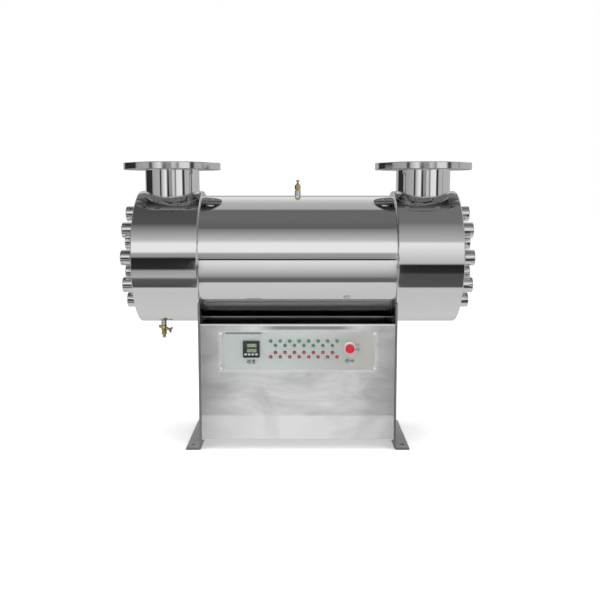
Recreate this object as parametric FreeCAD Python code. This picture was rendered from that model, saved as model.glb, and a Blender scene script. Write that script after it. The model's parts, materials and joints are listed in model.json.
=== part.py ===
"""A multi-lamp ultraviolet water clarifier on a steel stand, as separate pieces.

A horizontal stainless chamber carries fifteen quartz sleeves with lamps in them. Two wider end drums
carry the flanged inlet and outlet, the sleeve glands and the drain. A cabinet between two side plates
holds the ballasts, the breaker and the control panel. Millimetres. +Z is up, -Y is the panel side, and
the origin is on the floor under the middle of the chamber.
"""

import FreeCAD, Part
import math
import os

V = FreeCAD.Vector
OUT = "parts"

# ---- Chamber -----------------------------------------------------------------------------------------------
AXIS_Z = 555.0            # chamber axis above the floor
SHELL_OD = 362.0
SHELL_WALL = 3.0
SHELL_STUB = 6.0          # how far the shell runs into each drum past the seam
DRUM_OD = 388.0
DRUM_WALL = 4.0
DRUM_LENGTH = 183.0       # from the seam to the end face
DRUM_EDGE_R = 2.5
SEAM_X = 284.0            # where each drum's full diameter starts
SHOULDER_R = 4.0          # round the drum's inner corner, next to the seam
END_PLATE_T = 10.0

# ---- Inlet and outlet nozzles (DN150, PN10 plate flange) ---------------------------------------------------
NOZZLE_X = 373.0
NOZZLE_OD = 159.0
NOZZLE_WALL = 4.5
FLANGE_TOP_Z = 834.0
FLANGE_OD = 285.0
FLANGE_T = 20.0
FLANGE_FACE_OD = 212.0
FLANGE_FACE_T = 2.0
FLANGE_PCD = 240.0
FLANGE_HOLE_D = 22.0
FLANGE_HOLES = 8
FLANGE_EDGE_R = 1.5
PIPE_SETBACK = 5.0        # the pipe end stops this far below the flange face, for the weld

# ---- Sleeve glands, sleeves and lamps ----------------------------------------------------------------------
OUTER_RING_R = 133.0
OUTER_RING_COUNT = 10
INNER_RING_R = 75.0
INNER_RING_COUNT = 5
INNER_RING_TURN = 36.0    # degrees from the first outer sleeve to the first inner one
PATTERN_TURN = 2.6        # degrees that the first outer sleeve stands above the axis, at the panel side
SLEEVE_OD = 24.0
SLEEVE_WALL = 1.5
SLEEVE_CLEARANCE = 0.6    # radial, in plates, sockets and nuts
SOCKET_WALL = 2.0         # round the seal's seat
SOCKET_LENGTH = 24.0
SEAL_SECTION = 4.0
SEAL_GAP = 0.15
NUT_WALL = 4.1
NUT_LENGTH = 29.0
NUT_STANDOFF = 8.0        # gap between end plate and nut
NUT_EDGE_R = 5.0
NUT_REAR_EDGE_R = 1.5
NUT_SLOTS = 4
NUT_SLOT_WIDTH = 6.0
NUT_SLOT_DEPTH = 2.6
NUT_SLOT_LENGTH = 11.0
THREAD_GAP = 0.1
CAP_RECESS = 4.0          # depth of the cable cap's seat in the nut face
CAP_LIP = 4.0             # of the cable cap past the sleeve's wall
CAP_GAP = 0.3
CAP_PLUG_LENGTH = 9.0
CABLE_HOLE_D = 6.0
LAMP_OD = 15.0
LAMP_LENGTH = 930.0
LAMP_BASE_OD = 19.0
LAMP_BASE_LENGTH = 26.0

# ---- Baffles -----------------------------------------------------------------------------------------------
BAFFLE_T = 3.0
BAFFLE_GAP = 0.5
BAFFLE_PITCH = 150.0
BAFFLE_COUNT = 3
BAFFLE_WINDOW = 45.0      # height of the cut-away segment

# ---- Vent on the shell's top -------------------------------------------------------------------------------
VENT_SOCKET_OD = 18.0
VENT_SOCKET_H = 15.0
VENT_BORE_D = 10.0
VENT_HEX_AF = 15.0
VENT_HEX_H = 16.5
VENT_NOSE_H = 5.0
VENT_SPIGOT_H = 8.0
VENT_STEM_D = 4.6
VENT_STEM_LENGTH = 24.0
VENT_KNOB_D = 11.0
VENT_KNOB_H = 7.6
VENT_KNOB_RIM = 1.4
RUN_CLEARANCE = 0.05      # radial, wherever a pin or stem turns in a bore

# ---- Drain under the left drum -----------------------------------------------------------------------------
DRAIN_X = -407.0
DRAIN_NIPPLE_OD = 16.0
DRAIN_NIPPLE_H = 15.0
DRAIN_BORE_D = 7.0
DRAIN_BODY_OD = 17.5
DRAIN_BODY_H = 28.0
DRAIN_SPOUT_OD = 11.6
DRAIN_SPOUT_H = 11.0
DRAIN_PLUG_DROP = 8.5     # plug axis below the top of the body
DRAIN_TILT = 18.0         # degrees that the plug axis slopes down towards the handle
DRAIN_BOSS_OD = 11.0
DRAIN_BOSS_REACH = 12.0
DRAIN_PLUG_D = 7.0
DRAIN_PORT_D = 4.0
DRAIN_STUB = 3.5
DRAIN_STUB_HEX_AF = 9.0
DRAIN_STUB_HEX_T = 3.0
WING_SPAN = 20.0
WING_REACH = 12.0
WING_T = 3.2
WING_HUB_D = 9.0
WING_HUB_T = 3.0
SIDE_GAP = 0.3            # axial, between a turning piece and the one beside it

# ---- Side plates (legs) ------------------------------------------------------------------------------------
LEG_T = 6.0
LEG_LAP = 2.0             # the side plate reaches this far past the seam, under the drum
LEG_DEPTH = 304.0
LEG_HORN_DROP = 3.0       # the saddle's tips stop this far below the drum's surface
FOOT_WIDTH = 40.0
FOOT_BEND_R = 5.0
ANCHOR_INSET = 18.0       # anchor hole from the side plate's face to the hole's centre, plus the bend
ANCHOR_PITCH = 232.0
ANCHOR_HOLE_D = 13.0

# ---- Cabinet -----------------------------------------------------------------------------------------------
CABINET_GAP = 0.5         # each side, to the side plates
CABINET_RECESS = 1.0      # front face behind the side plates' front edges
CABINET_BOTTOM_Z = 30.0
CABINET_TOP_GAP = 2.0     # under the shell
CABINET_T = 2.0
CABINET_BEND_R = 3.0
DOOR_FRAME_WIDTH = 24.0
CABLE_STRIP_H = 66.0      # fixed strip under the rear door
DOOR_SETBACK = 4.0        # cabinet back behind the side plates' back edges

# ---- Control panel -----------------------------------------------------------------------------------------
PANEL_WIDTH = 458.0
PANEL_HEIGHT = 122.0
PANEL_T = 3.0
PANEL_TOP_Z = 355.0
PANEL_CORNER_R = 3.0
FILM_WIDTH = 443.0
FILM_HEIGHT = 112.0
FILM_SHIFT_X = 6.5
FILM_T = 0.4
PANEL_SCREW_INSET_X = 8.5
PANEL_SCREW_INSET_Z = 10.0
PANEL_SCREW_D = 4.0
PANEL_SCREW_HEAD_D = 8.5
PANEL_SCREW_HEAD_T = 2.4
PANEL_SCREW_LENGTH = 12.0
PANEL_SCREW_SLOT = 1.2
PANEL_NUT_AF = 7.0
PANEL_NUT_T = 3.0
HOLE_GAP = 0.3            # radial, in panel and cabinet holes

LIGHT_PITCH = 27.2
LIGHT_COLUMNS = 8         # in the long rows; the short rows have one fewer
LIGHTS_X = 18.0
LIGHT_TOP_Z = 323.0
LIGHT_ROW_STEP = 13.0
LIGHT_BANK_STEP = 33.0    # from the green bank's top row to the red bank's top row
LIGHT_BEZEL_D = 14.0
LIGHT_BEZEL_T = 2.0
LIGHT_BARREL_D = 11.6
LIGHT_BARREL_L = 16.0
LIGHT_LENS_D = 11.0
LIGHT_LENS_PROUD = 2.6

TIMER_X = -133.0
TIMER_Z = 299.5
TIMER_SIZE = 48.0
TIMER_PROUD = 6.0
TIMER_BODY_SIZE = 44.5
TIMER_BODY_DEPTH = 78.0
TIMER_FACE_DEPTH = 1.2
TIMER_RIM = 2.2
TIMER_CORNER_R = 2.0
WINDOW_WIDTH = 29.0
WINDOW_HEIGHT = 11.0
WINDOW_SHIFT_X = 1.6
WINDOW_HIGH_Z = 11.2
WINDOW_LOW_Z = -3.7
WINDOW_T = 1.0
KEY_COUNT = 4
KEY_WIDTH = 7.2
KEY_HEIGHT = 4.6
KEY_PITCH = 10.4
KEY_SHIFT_X = -0.9
KEY_Z = -14.5
KEY_PROUD = 0.8
KEY_DEPTH = 1.2           # of the key below the timer's face
KEY_TRAVEL = 0.5
KEY_GAP = 0.3
PIP_COUNT = 3
PIP_SIZE = 2.2
PIP_SHIFT_X = -18.2
PIP_TOP_Z = 19.6
PIP_PITCH = 6.2

SWITCH_X = 149.0
SWITCH_Z = 305.0
SWITCH_FLANGE_D = 32.0
SWITCH_FLANGE_T = 2.5
SWITCH_COLLAR_D = 29.5
SWITCH_COLLAR_L = 24.0
SWITCH_HEAD_D = 26.0
SWITCH_HEAD_PROUD = 6.0   # of the red head past the collar
SWITCH_HEAD_L = 14.0
SWITCH_HEAD_DOME = 2.0
SWITCH_HEAD_GAP = 0.4
SWITCH_TRAVEL = 5.0
SWITCH_STEM_D = 9.0
SWITCH_BARREL_D = 21.0
SWITCH_BLOCK_W = 30.0
SWITCH_BLOCK_H = 40.0
SWITCH_BLOCK_L = 30.0
SWITCH_RING_D = 28.0
SWITCH_RING_T = 4.0
SWITCH_MARK = 3.0

# ---- Rear door ---------------------------------------------------------------------------------------------
DOOR_T = 2.0
DOOR_LAP = 10.0           # how far the door covers the frame round its opening
GASKET_T = 2.0
GASKET_W = 8.0
GASKET_GAP = 0.3          # from the gasket, which the door carries, to the frame
HINGE_INSET = 60.0
HINGE_LENGTH = 50.0
HINGE_PIN_D = 4.0
HINGE_BARREL_D = 8.0
HINGE_LEAF_T = 2.0
HINGE_LEAF_W = 22.0
HINGE_HEAD_D = 7.0
HINGE_HEAD_T = 1.5
KNUCKLE_GAP = 0.4
LOCK_INSET = 26.0
LOCK_BODY_D = 18.0
LOCK_HEAD_D = 24.0
LOCK_HEAD_T = 4.0
LOCK_CORE_D = 12.0
LOCK_CORE_PROUD = 2.5
LOCK_SLOT = 2.0
LOCK_CAM_LENGTH = 34.0
LOCK_CAM_W = 12.0
LOCK_CAM_T = 2.5
LOCK_CAM_GAP = 1.0        # from the cam to the frame it turns behind
LOUVRE_ROWS = 9
LOUVRE_LENGTH = 90.0
LOUVRE_PITCH = 18.0
LOUVRE_R = 5.0
LOUVRE_T = 1.2
LOUVRE_X = 115.0

# ---- Inside the cabinet ------------------------------------------------------------------------------------
TRAY_Y = -30.0
TRAY_T = 2.0
TRAY_GAP_Z = 12.0
BALLAST_COLUMNS = 5
BALLAST_ROWS = 3
BALLAST_W = 92.0
BALLAST_H = 58.0
BALLAST_D = 36.0
BALLAST_PITCH_X = 104.0
BALLAST_PITCH_Z = 70.0
BALLAST_TOP_Z = 360.0
BALLAST_EAR = 6.0
BALLAST_EAR_T = 1.5
RAIL_Z = 88.0
RAIL_HEIGHT = 35.0
RAIL_DEPTH = 7.5
RAIL_LIP = 5.0
RAIL_T = 1.0
RAIL_LENGTH = 300.0
BREAKER_X = -90.0
BREAKER_W = 36.0
BREAKER_H = 82.0
BREAKER_D = 48.0
BREAKER_NOSE_H = 45.0
BREAKER_NOSE_D = 20.0
TOGGLE_R = 9.0
TOGGLE_T = 26.0
TOGGLE_LEVER = 10.0
TOGGLE_LEVER_T = 4.0
TOGGLE_PIN_D = 3.0
TOGGLE_SWING = 60.0
TERMINAL_X = 60.0
TERMINAL_COUNT = 12
TERMINAL_W = 6.0
TERMINAL_H = 44.0
TERMINAL_D = 38.0

# ---- Cable glands on the rear strip ------------------------------------------------------------------------
GLAND_XS = (-180.0, 0.0, 180.0)
GLAND_BORE_D = 12.0
GLAND_THREAD_D = 20.0
GLAND_HEX_AF = 24.0
GLAND_HEX_T = 7.0
GLAND_DOME_D = 23.0
GLAND_DOME_L = 14.0
GLAND_DOME_EDGE = 2.0
GLAND_LOCKNUT_AF = 26.0
GLAND_LOCKNUT_T = 5.0

# ---- Worked out from the sizes above -----------------------------------------------------------------------
shell_r = SHELL_OD / 2
drum_r = DRUM_OD / 2
end_x = SEAM_X + DRUM_LENGTH
nozzle_bore_r = NOZZLE_OD / 2 - NOZZLE_WALL
nut_x = end_x + NUT_STANDOFF
nut_face_x = nut_x + NUT_LENGTH
sleeve_end_x = nut_face_x - CAP_RECESS
seat_r = SLEEVE_OD / 2 + SEAL_SECTION + 2 * SEAL_GAP
socket_r = seat_r + SOCKET_WALL
nut_r = socket_r + THREAD_GAP + NUT_WALL
cap_r = SLEEVE_OD / 2 + CAP_LIP
leg_outer_x = SEAM_X + LEG_LAP
leg_inner_x = leg_outer_x - LEG_T
leg_y = LEG_DEPTH / 2
cabinet_x = leg_inner_x - CABINET_GAP
cabinet_front_y = -leg_y + CABINET_RECESS
cabinet_back_y = leg_y - DOOR_SETBACK
cabinet_top_z = AXIS_Z - shell_r - CABINET_TOP_GAP
panel_y = cabinet_front_y - FILM_T       # back face of the clear panel
panel_face_y = panel_y - PANEL_T
door_y = cabinet_back_y + GASKET_GAP + GASKET_T      # inside face of the door
opening_low_z = CABINET_BOTTOM_Z + CABLE_STRIP_H
opening_high_z = cabinet_top_z - DOOR_FRAME_WIDTH
opening_x = cabinet_x - DOOR_FRAME_WIDTH
door_low_z = opening_low_z - DOOR_LAP
door_high_z = opening_high_z + DOOR_LAP
door_x = opening_x + DOOR_LAP


# ---- Helpers -----------------------------------------------------------------------------------------------
def save(name, shape):
    """Writes one node, whatever number of solids it holds."""
    shape.exportStep(os.path.join(OUT, name + ".step"))


def group(solids):
    return Part.makeCompound(solids)


def box(x, y, z):
    """A box from three (low, high) pairs."""
    return Part.makeBox(x[1] - x[0], y[1] - y[0], z[1] - z[0], V(x[0], y[0], z[0]))


def rod(start, axis, length, radius):
    return Part.makeCylinder(radius, length, V(*start), V(*axis))


def pipe(start, axis, length, outer_r, inner_r):
    return rod(start, axis, length, outer_r).cut(rod(start, axis, length, inner_r))


def prism(corners, direction):
    """The solid swept by a closed outline of straight sides."""
    outline = [V(*c) for c in corners]
    return Part.Face(Part.makePolygon(outline + outline[:1])).extrude(V(*direction))


def turned(profile, start, axis):
    """The solid of a closed outline of (along, radius) points, turned about an axis through start."""
    axis = V(*axis).normalize()
    side = axis.cross(V(0, 1, 0)) if abs(axis.y) < 0.9 else axis.cross(V(0, 0, 1))
    side.normalize()
    points = [V(*start) + axis * a + side * r for a, r in profile]
    return Part.Face(Part.makePolygon(points + points[:1])).revolve(V(*start), axis, 360)


def hexagon(centre, axis, across_flats, length, turn=0.0):
    """A hexagonal bar along X, Y or Z. turn is in degrees."""
    corner_r = across_flats / math.sqrt(3)
    k = [abs(a) for a in axis].index(1)
    corners = []
    for i in range(6):
        angle = math.radians(60 * i + turn)
        offsets = [corner_r * math.cos(angle), corner_r * math.sin(angle)]
        offsets.insert(k, 0.0)
        corners.append([c + o for c, o in zip(centre, offsets)])
    return prism(corners, [a * length for a in axis])


def both_sides(shape):
    """The piece at +X and its mirror image at -X."""
    return shape, shape.mirror(V(0, 0, 0), V(1, 0, 0))


def rounded_plate(centre_x, centre_z, width, height, corner_r, y_back, y_front):
    """An upright plate with rounded corners, from y_back forwards to y_front."""
    plate = box((centre_x - width / 2, centre_x + width / 2), (y_front, y_back),
                (centre_z - height / 2, centre_z + height / 2))
    edges = [e for e in plate.Edges if abs(e.tangentAt(e.FirstParameter).y) > 0.99]
    return plate.makeFillet(corner_r, edges)


def sleeve_places():
    """(y, z) of each sleeve's axis: an outer ring and an inner ring."""
    rings = ((OUTER_RING_R, OUTER_RING_COUNT, PATTERN_TURN),
             (INNER_RING_R, INNER_RING_COUNT, PATTERN_TURN + INNER_RING_TURN))
    places = []
    for radius, count, turn in rings:
        for i in range(count):
            angle = math.radians(turn + 360.0 / count * i)
            places.append((-radius * math.cos(angle), AXIS_Z + radius * math.sin(angle)))
    return places


def bored_for_sleeves(plate, x_from, x_to):
    radius = SLEEVE_OD / 2 + SLEEVE_CLEARANCE
    return plate.cut([rod((x_from, y, z), (1, 0, 0), x_to - x_from, radius) for y, z in sleeve_places()])


# ---- Chamber -----------------------------------------------------------------------------------------------
def chamber_shell():
    half = SEAM_X + SHELL_STUB
    shell = pipe((-half, 0, AXIS_Z), (1, 0, 0), 2 * half, shell_r, shell_r - SHELL_WALL)
    return shell.cut(rod((0, 0, AXIS_Z), (0, 0, 1), drum_r, VENT_BORE_D / 2))


def drum():
    """The right-hand drum: a straight wall with a flat shoulder down to the shell."""
    face_x = SEAM_X - SHOULDER_R

    def at(x, r):
        return V(x, 0, AXIS_Z + r)

    slant = SHOULDER_R * math.sqrt(0.5)
    corner_mid = at(SEAM_X - slant, drum_r - SHOULDER_R + slant)
    edges = [
        Part.LineSegment(at(end_x, drum_r - DRUM_WALL), at(end_x, drum_r)),
        Part.LineSegment(at(end_x, drum_r), at(SEAM_X, drum_r)),
        Part.Arc(at(SEAM_X, drum_r), corner_mid, at(face_x, drum_r - SHOULDER_R)),
        Part.LineSegment(at(face_x, drum_r - SHOULDER_R), at(face_x, shell_r)),
        Part.LineSegment(at(face_x, shell_r), at(face_x + DRUM_WALL, shell_r)),
        Part.LineSegment(at(face_x + DRUM_WALL, shell_r), at(face_x + DRUM_WALL, drum_r - DRUM_WALL)),
        Part.LineSegment(at(face_x + DRUM_WALL, drum_r - DRUM_WALL), at(end_x, drum_r - DRUM_WALL)),
    ]
    wall = Part.Face(Part.Wire([e.toShape() for e in edges])).revolve(V(0, 0, AXIS_Z), V(1, 0, 0), 360)
    rim = [e for e in wall.Edges if e.Curve.TypeId == "Part::GeomCircle"
           and abs(e.CenterOfMass.x - end_x) < 0.01 and abs(e.Curve.Radius - drum_r) < 0.01]
    wall = wall.makeFillet(DRUM_EDGE_R, rim)
    return wall.cut(rod((NOZZLE_X, 0, AXIS_Z), (0, 0, 1), DRUM_OD, nozzle_bore_r))


def drain_hole():
    return rod((DRAIN_X, 0, AXIS_Z), (0, 0, -1), DRUM_OD, DRAIN_BORE_D / 2)


def end_plate():
    plate = rod((end_x - END_PLATE_T, 0, AXIS_Z), (1, 0, 0), END_PLATE_T, drum_r - DRUM_WALL)
    return bored_for_sleeves(plate, end_x - END_PLATE_T, end_x)


def nozzle():
    height = FLANGE_TOP_Z - PIPE_SETBACK - AXIS_Z
    neck = pipe((NOZZLE_X, 0, AXIS_Z), (0, 0, 1), height, NOZZLE_OD / 2, nozzle_bore_r)
    return neck.cut(rod((0, 0, AXIS_Z), (1, 0, 0), end_x, drum_r))


def flange():
    """A plate flange with a raised face. The pipe stands in its bore."""
    bottom_z = FLANGE_TOP_Z - FLANGE_FACE_T - FLANGE_T
    plate = rod((NOZZLE_X, 0, bottom_z), (0, 0, 1), FLANGE_T, FLANGE_OD / 2)
    plate = plate.makeFillet(FLANGE_EDGE_R, [e for e in plate.Edges if e.Curve.TypeId == "Part::GeomCircle"])
    plate = plate.fuse(rod((NOZZLE_X, 0, bottom_z + FLANGE_T), (0, 0, 1), FLANGE_FACE_T, FLANGE_FACE_OD / 2))
    holes = [rod((NOZZLE_X, 0, bottom_z), (0, 0, 1), FLANGE_T + FLANGE_FACE_T, NOZZLE_OD / 2)]
    for i in range(FLANGE_HOLES):
        angle = math.radians(360.0 / FLANGE_HOLES * (i + 0.5))
        x = NOZZLE_X + FLANGE_PCD / 2 * math.cos(angle)
        y = FLANGE_PCD / 2 * math.sin(angle)
        holes.append(rod((x, y, bottom_z), (0, 0, 1), FLANGE_T, FLANGE_HOLE_D / 2))
    return plate.cut(holes)


# ---- Glands, sleeves and lamps -----------------------------------------------------------------------------
def gland_socket(y, z):
    """A threaded socket on the end plate, with a seat for the seal at its mouth."""
    bore_r = SLEEVE_OD / 2 + SLEEVE_CLEARANCE
    socket = pipe((end_x, y, z), (1, 0, 0), SOCKET_LENGTH, socket_r, bore_r)
    seat_depth = SEAL_SECTION + SEAL_GAP
    return socket.cut(rod((end_x + SOCKET_LENGTH - seat_depth, y, z), (1, 0, 0), seat_depth, seat_r))


def seal_ring(y, z):
    centre = V(end_x + SOCKET_LENGTH - SEAL_SECTION / 2, y, z)
    ring_r = SLEEVE_OD / 2 + SEAL_GAP + SEAL_SECTION / 2
    return Part.makeTorus(ring_r, SEAL_SECTION / 2, centre, V(1, 0, 0))


def gland_nut(y, z):
    """A round compression nut with hook-spanner slots and a seat for the cable cap."""
    nut = rod((nut_x, y, z), (1, 0, 0), NUT_LENGTH, nut_r)
    rim = [e for e in nut.Edges if e.Curve.TypeId == "Part::GeomCircle" and e.CenterOfMass.x > nut_face_x - 0.01]
    nut = nut.makeFillet(NUT_EDGE_R, rim)
    rear = [e for e in nut.Edges if e.Curve.TypeId == "Part::GeomCircle" and e.CenterOfMass.x < nut_x + 0.01]
    nut = nut.makeFillet(NUT_REAR_EDGE_R, rear)
    thread_length = end_x + SOCKET_LENGTH + SEAL_GAP - nut_x
    cuts = [
        rod((nut_x, y, z), (1, 0, 0), thread_length, socket_r + THREAD_GAP),
        rod((nut_x, y, z), (1, 0, 0), NUT_LENGTH, SLEEVE_OD / 2 + SLEEVE_CLEARANCE),
        rod((nut_face_x - CAP_RECESS, y, z), (1, 0, 0), CAP_RECESS, cap_r + CAP_GAP),
    ]
    for i in range(NUT_SLOTS):
        slot = box((nut_face_x - NUT_SLOT_LENGTH, nut_face_x), (-NUT_SLOT_WIDTH / 2, NUT_SLOT_WIDTH / 2),
                   (nut_r - NUT_SLOT_DEPTH, nut_r + 1))
        slot.rotate(V(0, 0, 0), V(1, 0, 0), 360.0 / NUT_SLOTS * (i + 0.5))
        slot.translate(V(0, y, z))
        cuts.append(slot)
    return nut.cut(cuts)


def cable_cap(y, z):
    """A rubber cap in the nut's face, with a plug in the sleeve and a hole for the lamp's lead."""
    plug_r = SLEEVE_OD / 2 - SLEEVE_WALL - CAP_GAP
    profile = [(-CAP_PLUG_LENGTH, CABLE_HOLE_D / 2), (-CAP_PLUG_LENGTH, plug_r), (0, plug_r),
               (0, cap_r), (CAP_RECESS - 1, cap_r), (CAP_RECESS, cap_r - 1),
               (CAP_RECESS, CABLE_HOLE_D / 2)]
    return turned(profile, (sleeve_end_x, y, z), (1, 0, 0))


def quartz_sleeve(y, z):
    return pipe((-sleeve_end_x, y, z), (1, 0, 0), 2 * sleeve_end_x, SLEEVE_OD / 2, SLEEVE_OD / 2 - SLEEVE_WALL)


def lamp_tube(y, z):
    half = LAMP_LENGTH / 2 - LAMP_BASE_LENGTH
    return rod((-half, y, z), (1, 0, 0), 2 * half, LAMP_OD / 2)


def lamp_base(y, z):
    return rod((LAMP_LENGTH / 2 - LAMP_BASE_LENGTH, y, z), (1, 0, 0), LAMP_BASE_LENGTH, LAMP_BASE_OD / 2)


def baffle(index):
    """A disc that carries the sleeves and turns the flow, open at the top or at the bottom by turns."""
    x = (index - (BAFFLE_COUNT - 1) / 2) * BAFFLE_PITCH
    radius = shell_r - SHELL_WALL - BAFFLE_GAP
    disc = rod((x - BAFFLE_T / 2, 0, AXIS_Z), (1, 0, 0), BAFFLE_T, radius)
    side = 1 if index % 2 else -1
    edge = AXIS_Z + side * (radius - BAFFLE_WINDOW)
    limits = sorted((edge, AXIS_Z + side * (radius + 1)))
    disc = disc.cut(box((x - BAFFLE_T, x + BAFFLE_T), (-radius, radius), limits))
    return bored_for_sleeves(disc, x - BAFFLE_T, x + BAFFLE_T)


# ---- Vent --------------------------------------------------------------------------------------------------
vent_z = AXIS_Z + shell_r + VENT_SOCKET_H          # top of the socket
vent_top_z = vent_z + VENT_HEX_H + VENT_NOSE_H


def vent_socket():
    socket = pipe((0, 0, AXIS_Z), (0, 0, 1), vent_z - AXIS_Z, VENT_SOCKET_OD / 2, VENT_BORE_D / 2)
    return socket.cut(rod((-VENT_SOCKET_OD, 0, AXIS_Z), (1, 0, 0), 2 * VENT_SOCKET_OD, shell_r))


def vent_body():
    """A brass hexagon with a coned nose, screwed into the socket and bored for the stem."""
    body = hexagon((0, 0, vent_z), (0, 0, 1), VENT_HEX_AF, VENT_HEX_H, turn=30.0)
    flat_r = VENT_HEX_AF / 2
    nose = Part.makeCone(flat_r, VENT_STEM_D / 2 + 1.5, VENT_NOSE_H, V(0, 0, vent_z + VENT_HEX_H), V(0, 0, 1))
    spigot = rod((0, 0, vent_z - VENT_SPIGOT_H), (0, 0, 1), VENT_SPIGOT_H, VENT_BORE_D / 2)
    bore = rod((0, 0, vent_z - VENT_SPIGOT_H), (0, 0, 1), vent_top_z - vent_z + VENT_SPIGOT_H,
               VENT_STEM_D / 2 + RUN_CLEARANCE)
    return body.fuse([nose, spigot]).cut(bore)


def vent_screw():
    """The bleed stem with its flared thumb knob."""
    knob_z = vent_top_z + SIDE_GAP
    stem = rod((0, 0, knob_z - VENT_STEM_LENGTH), (0, 0, 1), VENT_STEM_LENGTH, VENT_STEM_D / 2)
    flare = Part.makeCone(VENT_STEM_D / 2, VENT_KNOB_D / 2, VENT_KNOB_H, V(0, 0, knob_z), V(0, 0, 1))
    rim = rod((0, 0, knob_z + VENT_KNOB_H), (0, 0, 1), VENT_KNOB_RIM, VENT_KNOB_D / 2)
    return stem.fuse([flare, rim])


# ---- Drain -------------------------------------------------------------------------------------------------
drain_top_z = AXIS_Z - drum_r - DRAIN_NIPPLE_H
drain_bottom_z = drain_top_z - DRAIN_BODY_H
plug_z = drain_top_z - DRAIN_PLUG_DROP
plug_axis = (math.cos(math.radians(DRAIN_TILT)), 0.0, -math.sin(math.radians(DRAIN_TILT)))


def along_plug(distance):
    """The point on the plug's axis at a distance from the body's centre, towards the handle."""
    return (DRAIN_X + plug_axis[0] * distance, 0.0, plug_z + plug_axis[2] * distance)


def drain_nipple():
    nipple = pipe((DRAIN_X, 0, drain_top_z), (0, 0, 1), AXIS_Z - drain_top_z, DRAIN_NIPPLE_OD / 2,
                  DRAIN_BORE_D / 2)
    return nipple.cut(rod((DRAIN_X - DRAIN_NIPPLE_OD, 0, AXIS_Z), (1, 0, 0), 2 * DRAIN_NIPPLE_OD, drum_r))


def drain_body():
    body = rod((DRAIN_X, 0, drain_bottom_z), (0, 0, 1), DRAIN_BODY_H, DRAIN_BODY_OD / 2)
    boss = rod(along_plug(-DRAIN_BOSS_REACH), plug_axis, 2 * DRAIN_BOSS_REACH, DRAIN_BOSS_OD / 2)
    spout = rod((DRAIN_X, 0, drain_bottom_z - DRAIN_SPOUT_H), (0, 0, 1), DRAIN_SPOUT_H, DRAIN_SPOUT_OD / 2)
    way = rod((DRAIN_X, 0, drain_bottom_z - DRAIN_SPOUT_H), (0, 0, 1), DRAIN_SPOUT_H + DRAIN_BODY_H,
              DRAIN_BORE_D / 2)
    seat = rod(along_plug(-DRAIN_BOSS_REACH), plug_axis, 2 * DRAIN_BOSS_REACH,
               DRAIN_PLUG_D / 2 + RUN_CLEARANCE)
    return body.fuse([boss, spout]).cut([way, seat])


def drain_handle():
    """The turning plug, shown shut, with its butterfly wing outside the boss and a hexagon on the far end."""
    hub_from = DRAIN_BOSS_REACH + SIDE_GAP
    back = DRAIN_BOSS_REACH + SIDE_GAP + DRAIN_STUB
    plug = rod(along_plug(-back), plug_axis, back + hub_from, DRAIN_PLUG_D / 2)
    hub = rod(along_plug(hub_from), plug_axis, WING_HUB_T, WING_HUB_D / 2)
    wing = box((0, WING_REACH), (-WING_T / 2, WING_T / 2), (-WING_SPAN / 2, WING_SPAN / 2))
    tips = [e for e in wing.Edges if abs(e.tangentAt(e.FirstParameter).y) > 0.99 and e.CenterOfMass.x > 1]
    wing = wing.makeFillet(WING_REACH * 0.45, tips)
    taper = prism([(-1, -WING_T, 0.0), (-1, -WING_T, WING_SPAN), (WING_REACH * 0.5, -WING_T, WING_SPAN)],
                  (0, 2 * WING_T, 0))
    taper.translate(V(0, 0, WING_HUB_D / 2))
    wing = wing.cut([taper, taper.mirror(V(0, 0, 0), V(0, 0, 1))])
    wing.rotate(V(0, 0, 0), V(0, 1, 0), DRAIN_TILT)
    wing.translate(V(*along_plug(hub_from + WING_HUB_T - 1)))
    nut = hexagon((0, 0, 0), (1, 0, 0), DRAIN_STUB_HEX_AF, DRAIN_STUB_HEX_T)
    nut.rotate(V(0, 0, 0), V(0, 1, 0), DRAIN_TILT)
    nut.translate(V(*along_plug(-DRAIN_BOSS_REACH - SIDE_GAP - DRAIN_STUB_HEX_T)))
    port = rod((DRAIN_X, -DRAIN_PLUG_D, plug_z), (0, 1, 0), 2 * DRAIN_PLUG_D, DRAIN_PORT_D / 2)
    return plug.fuse([hub, wing, nut]).cut(port)


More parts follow.
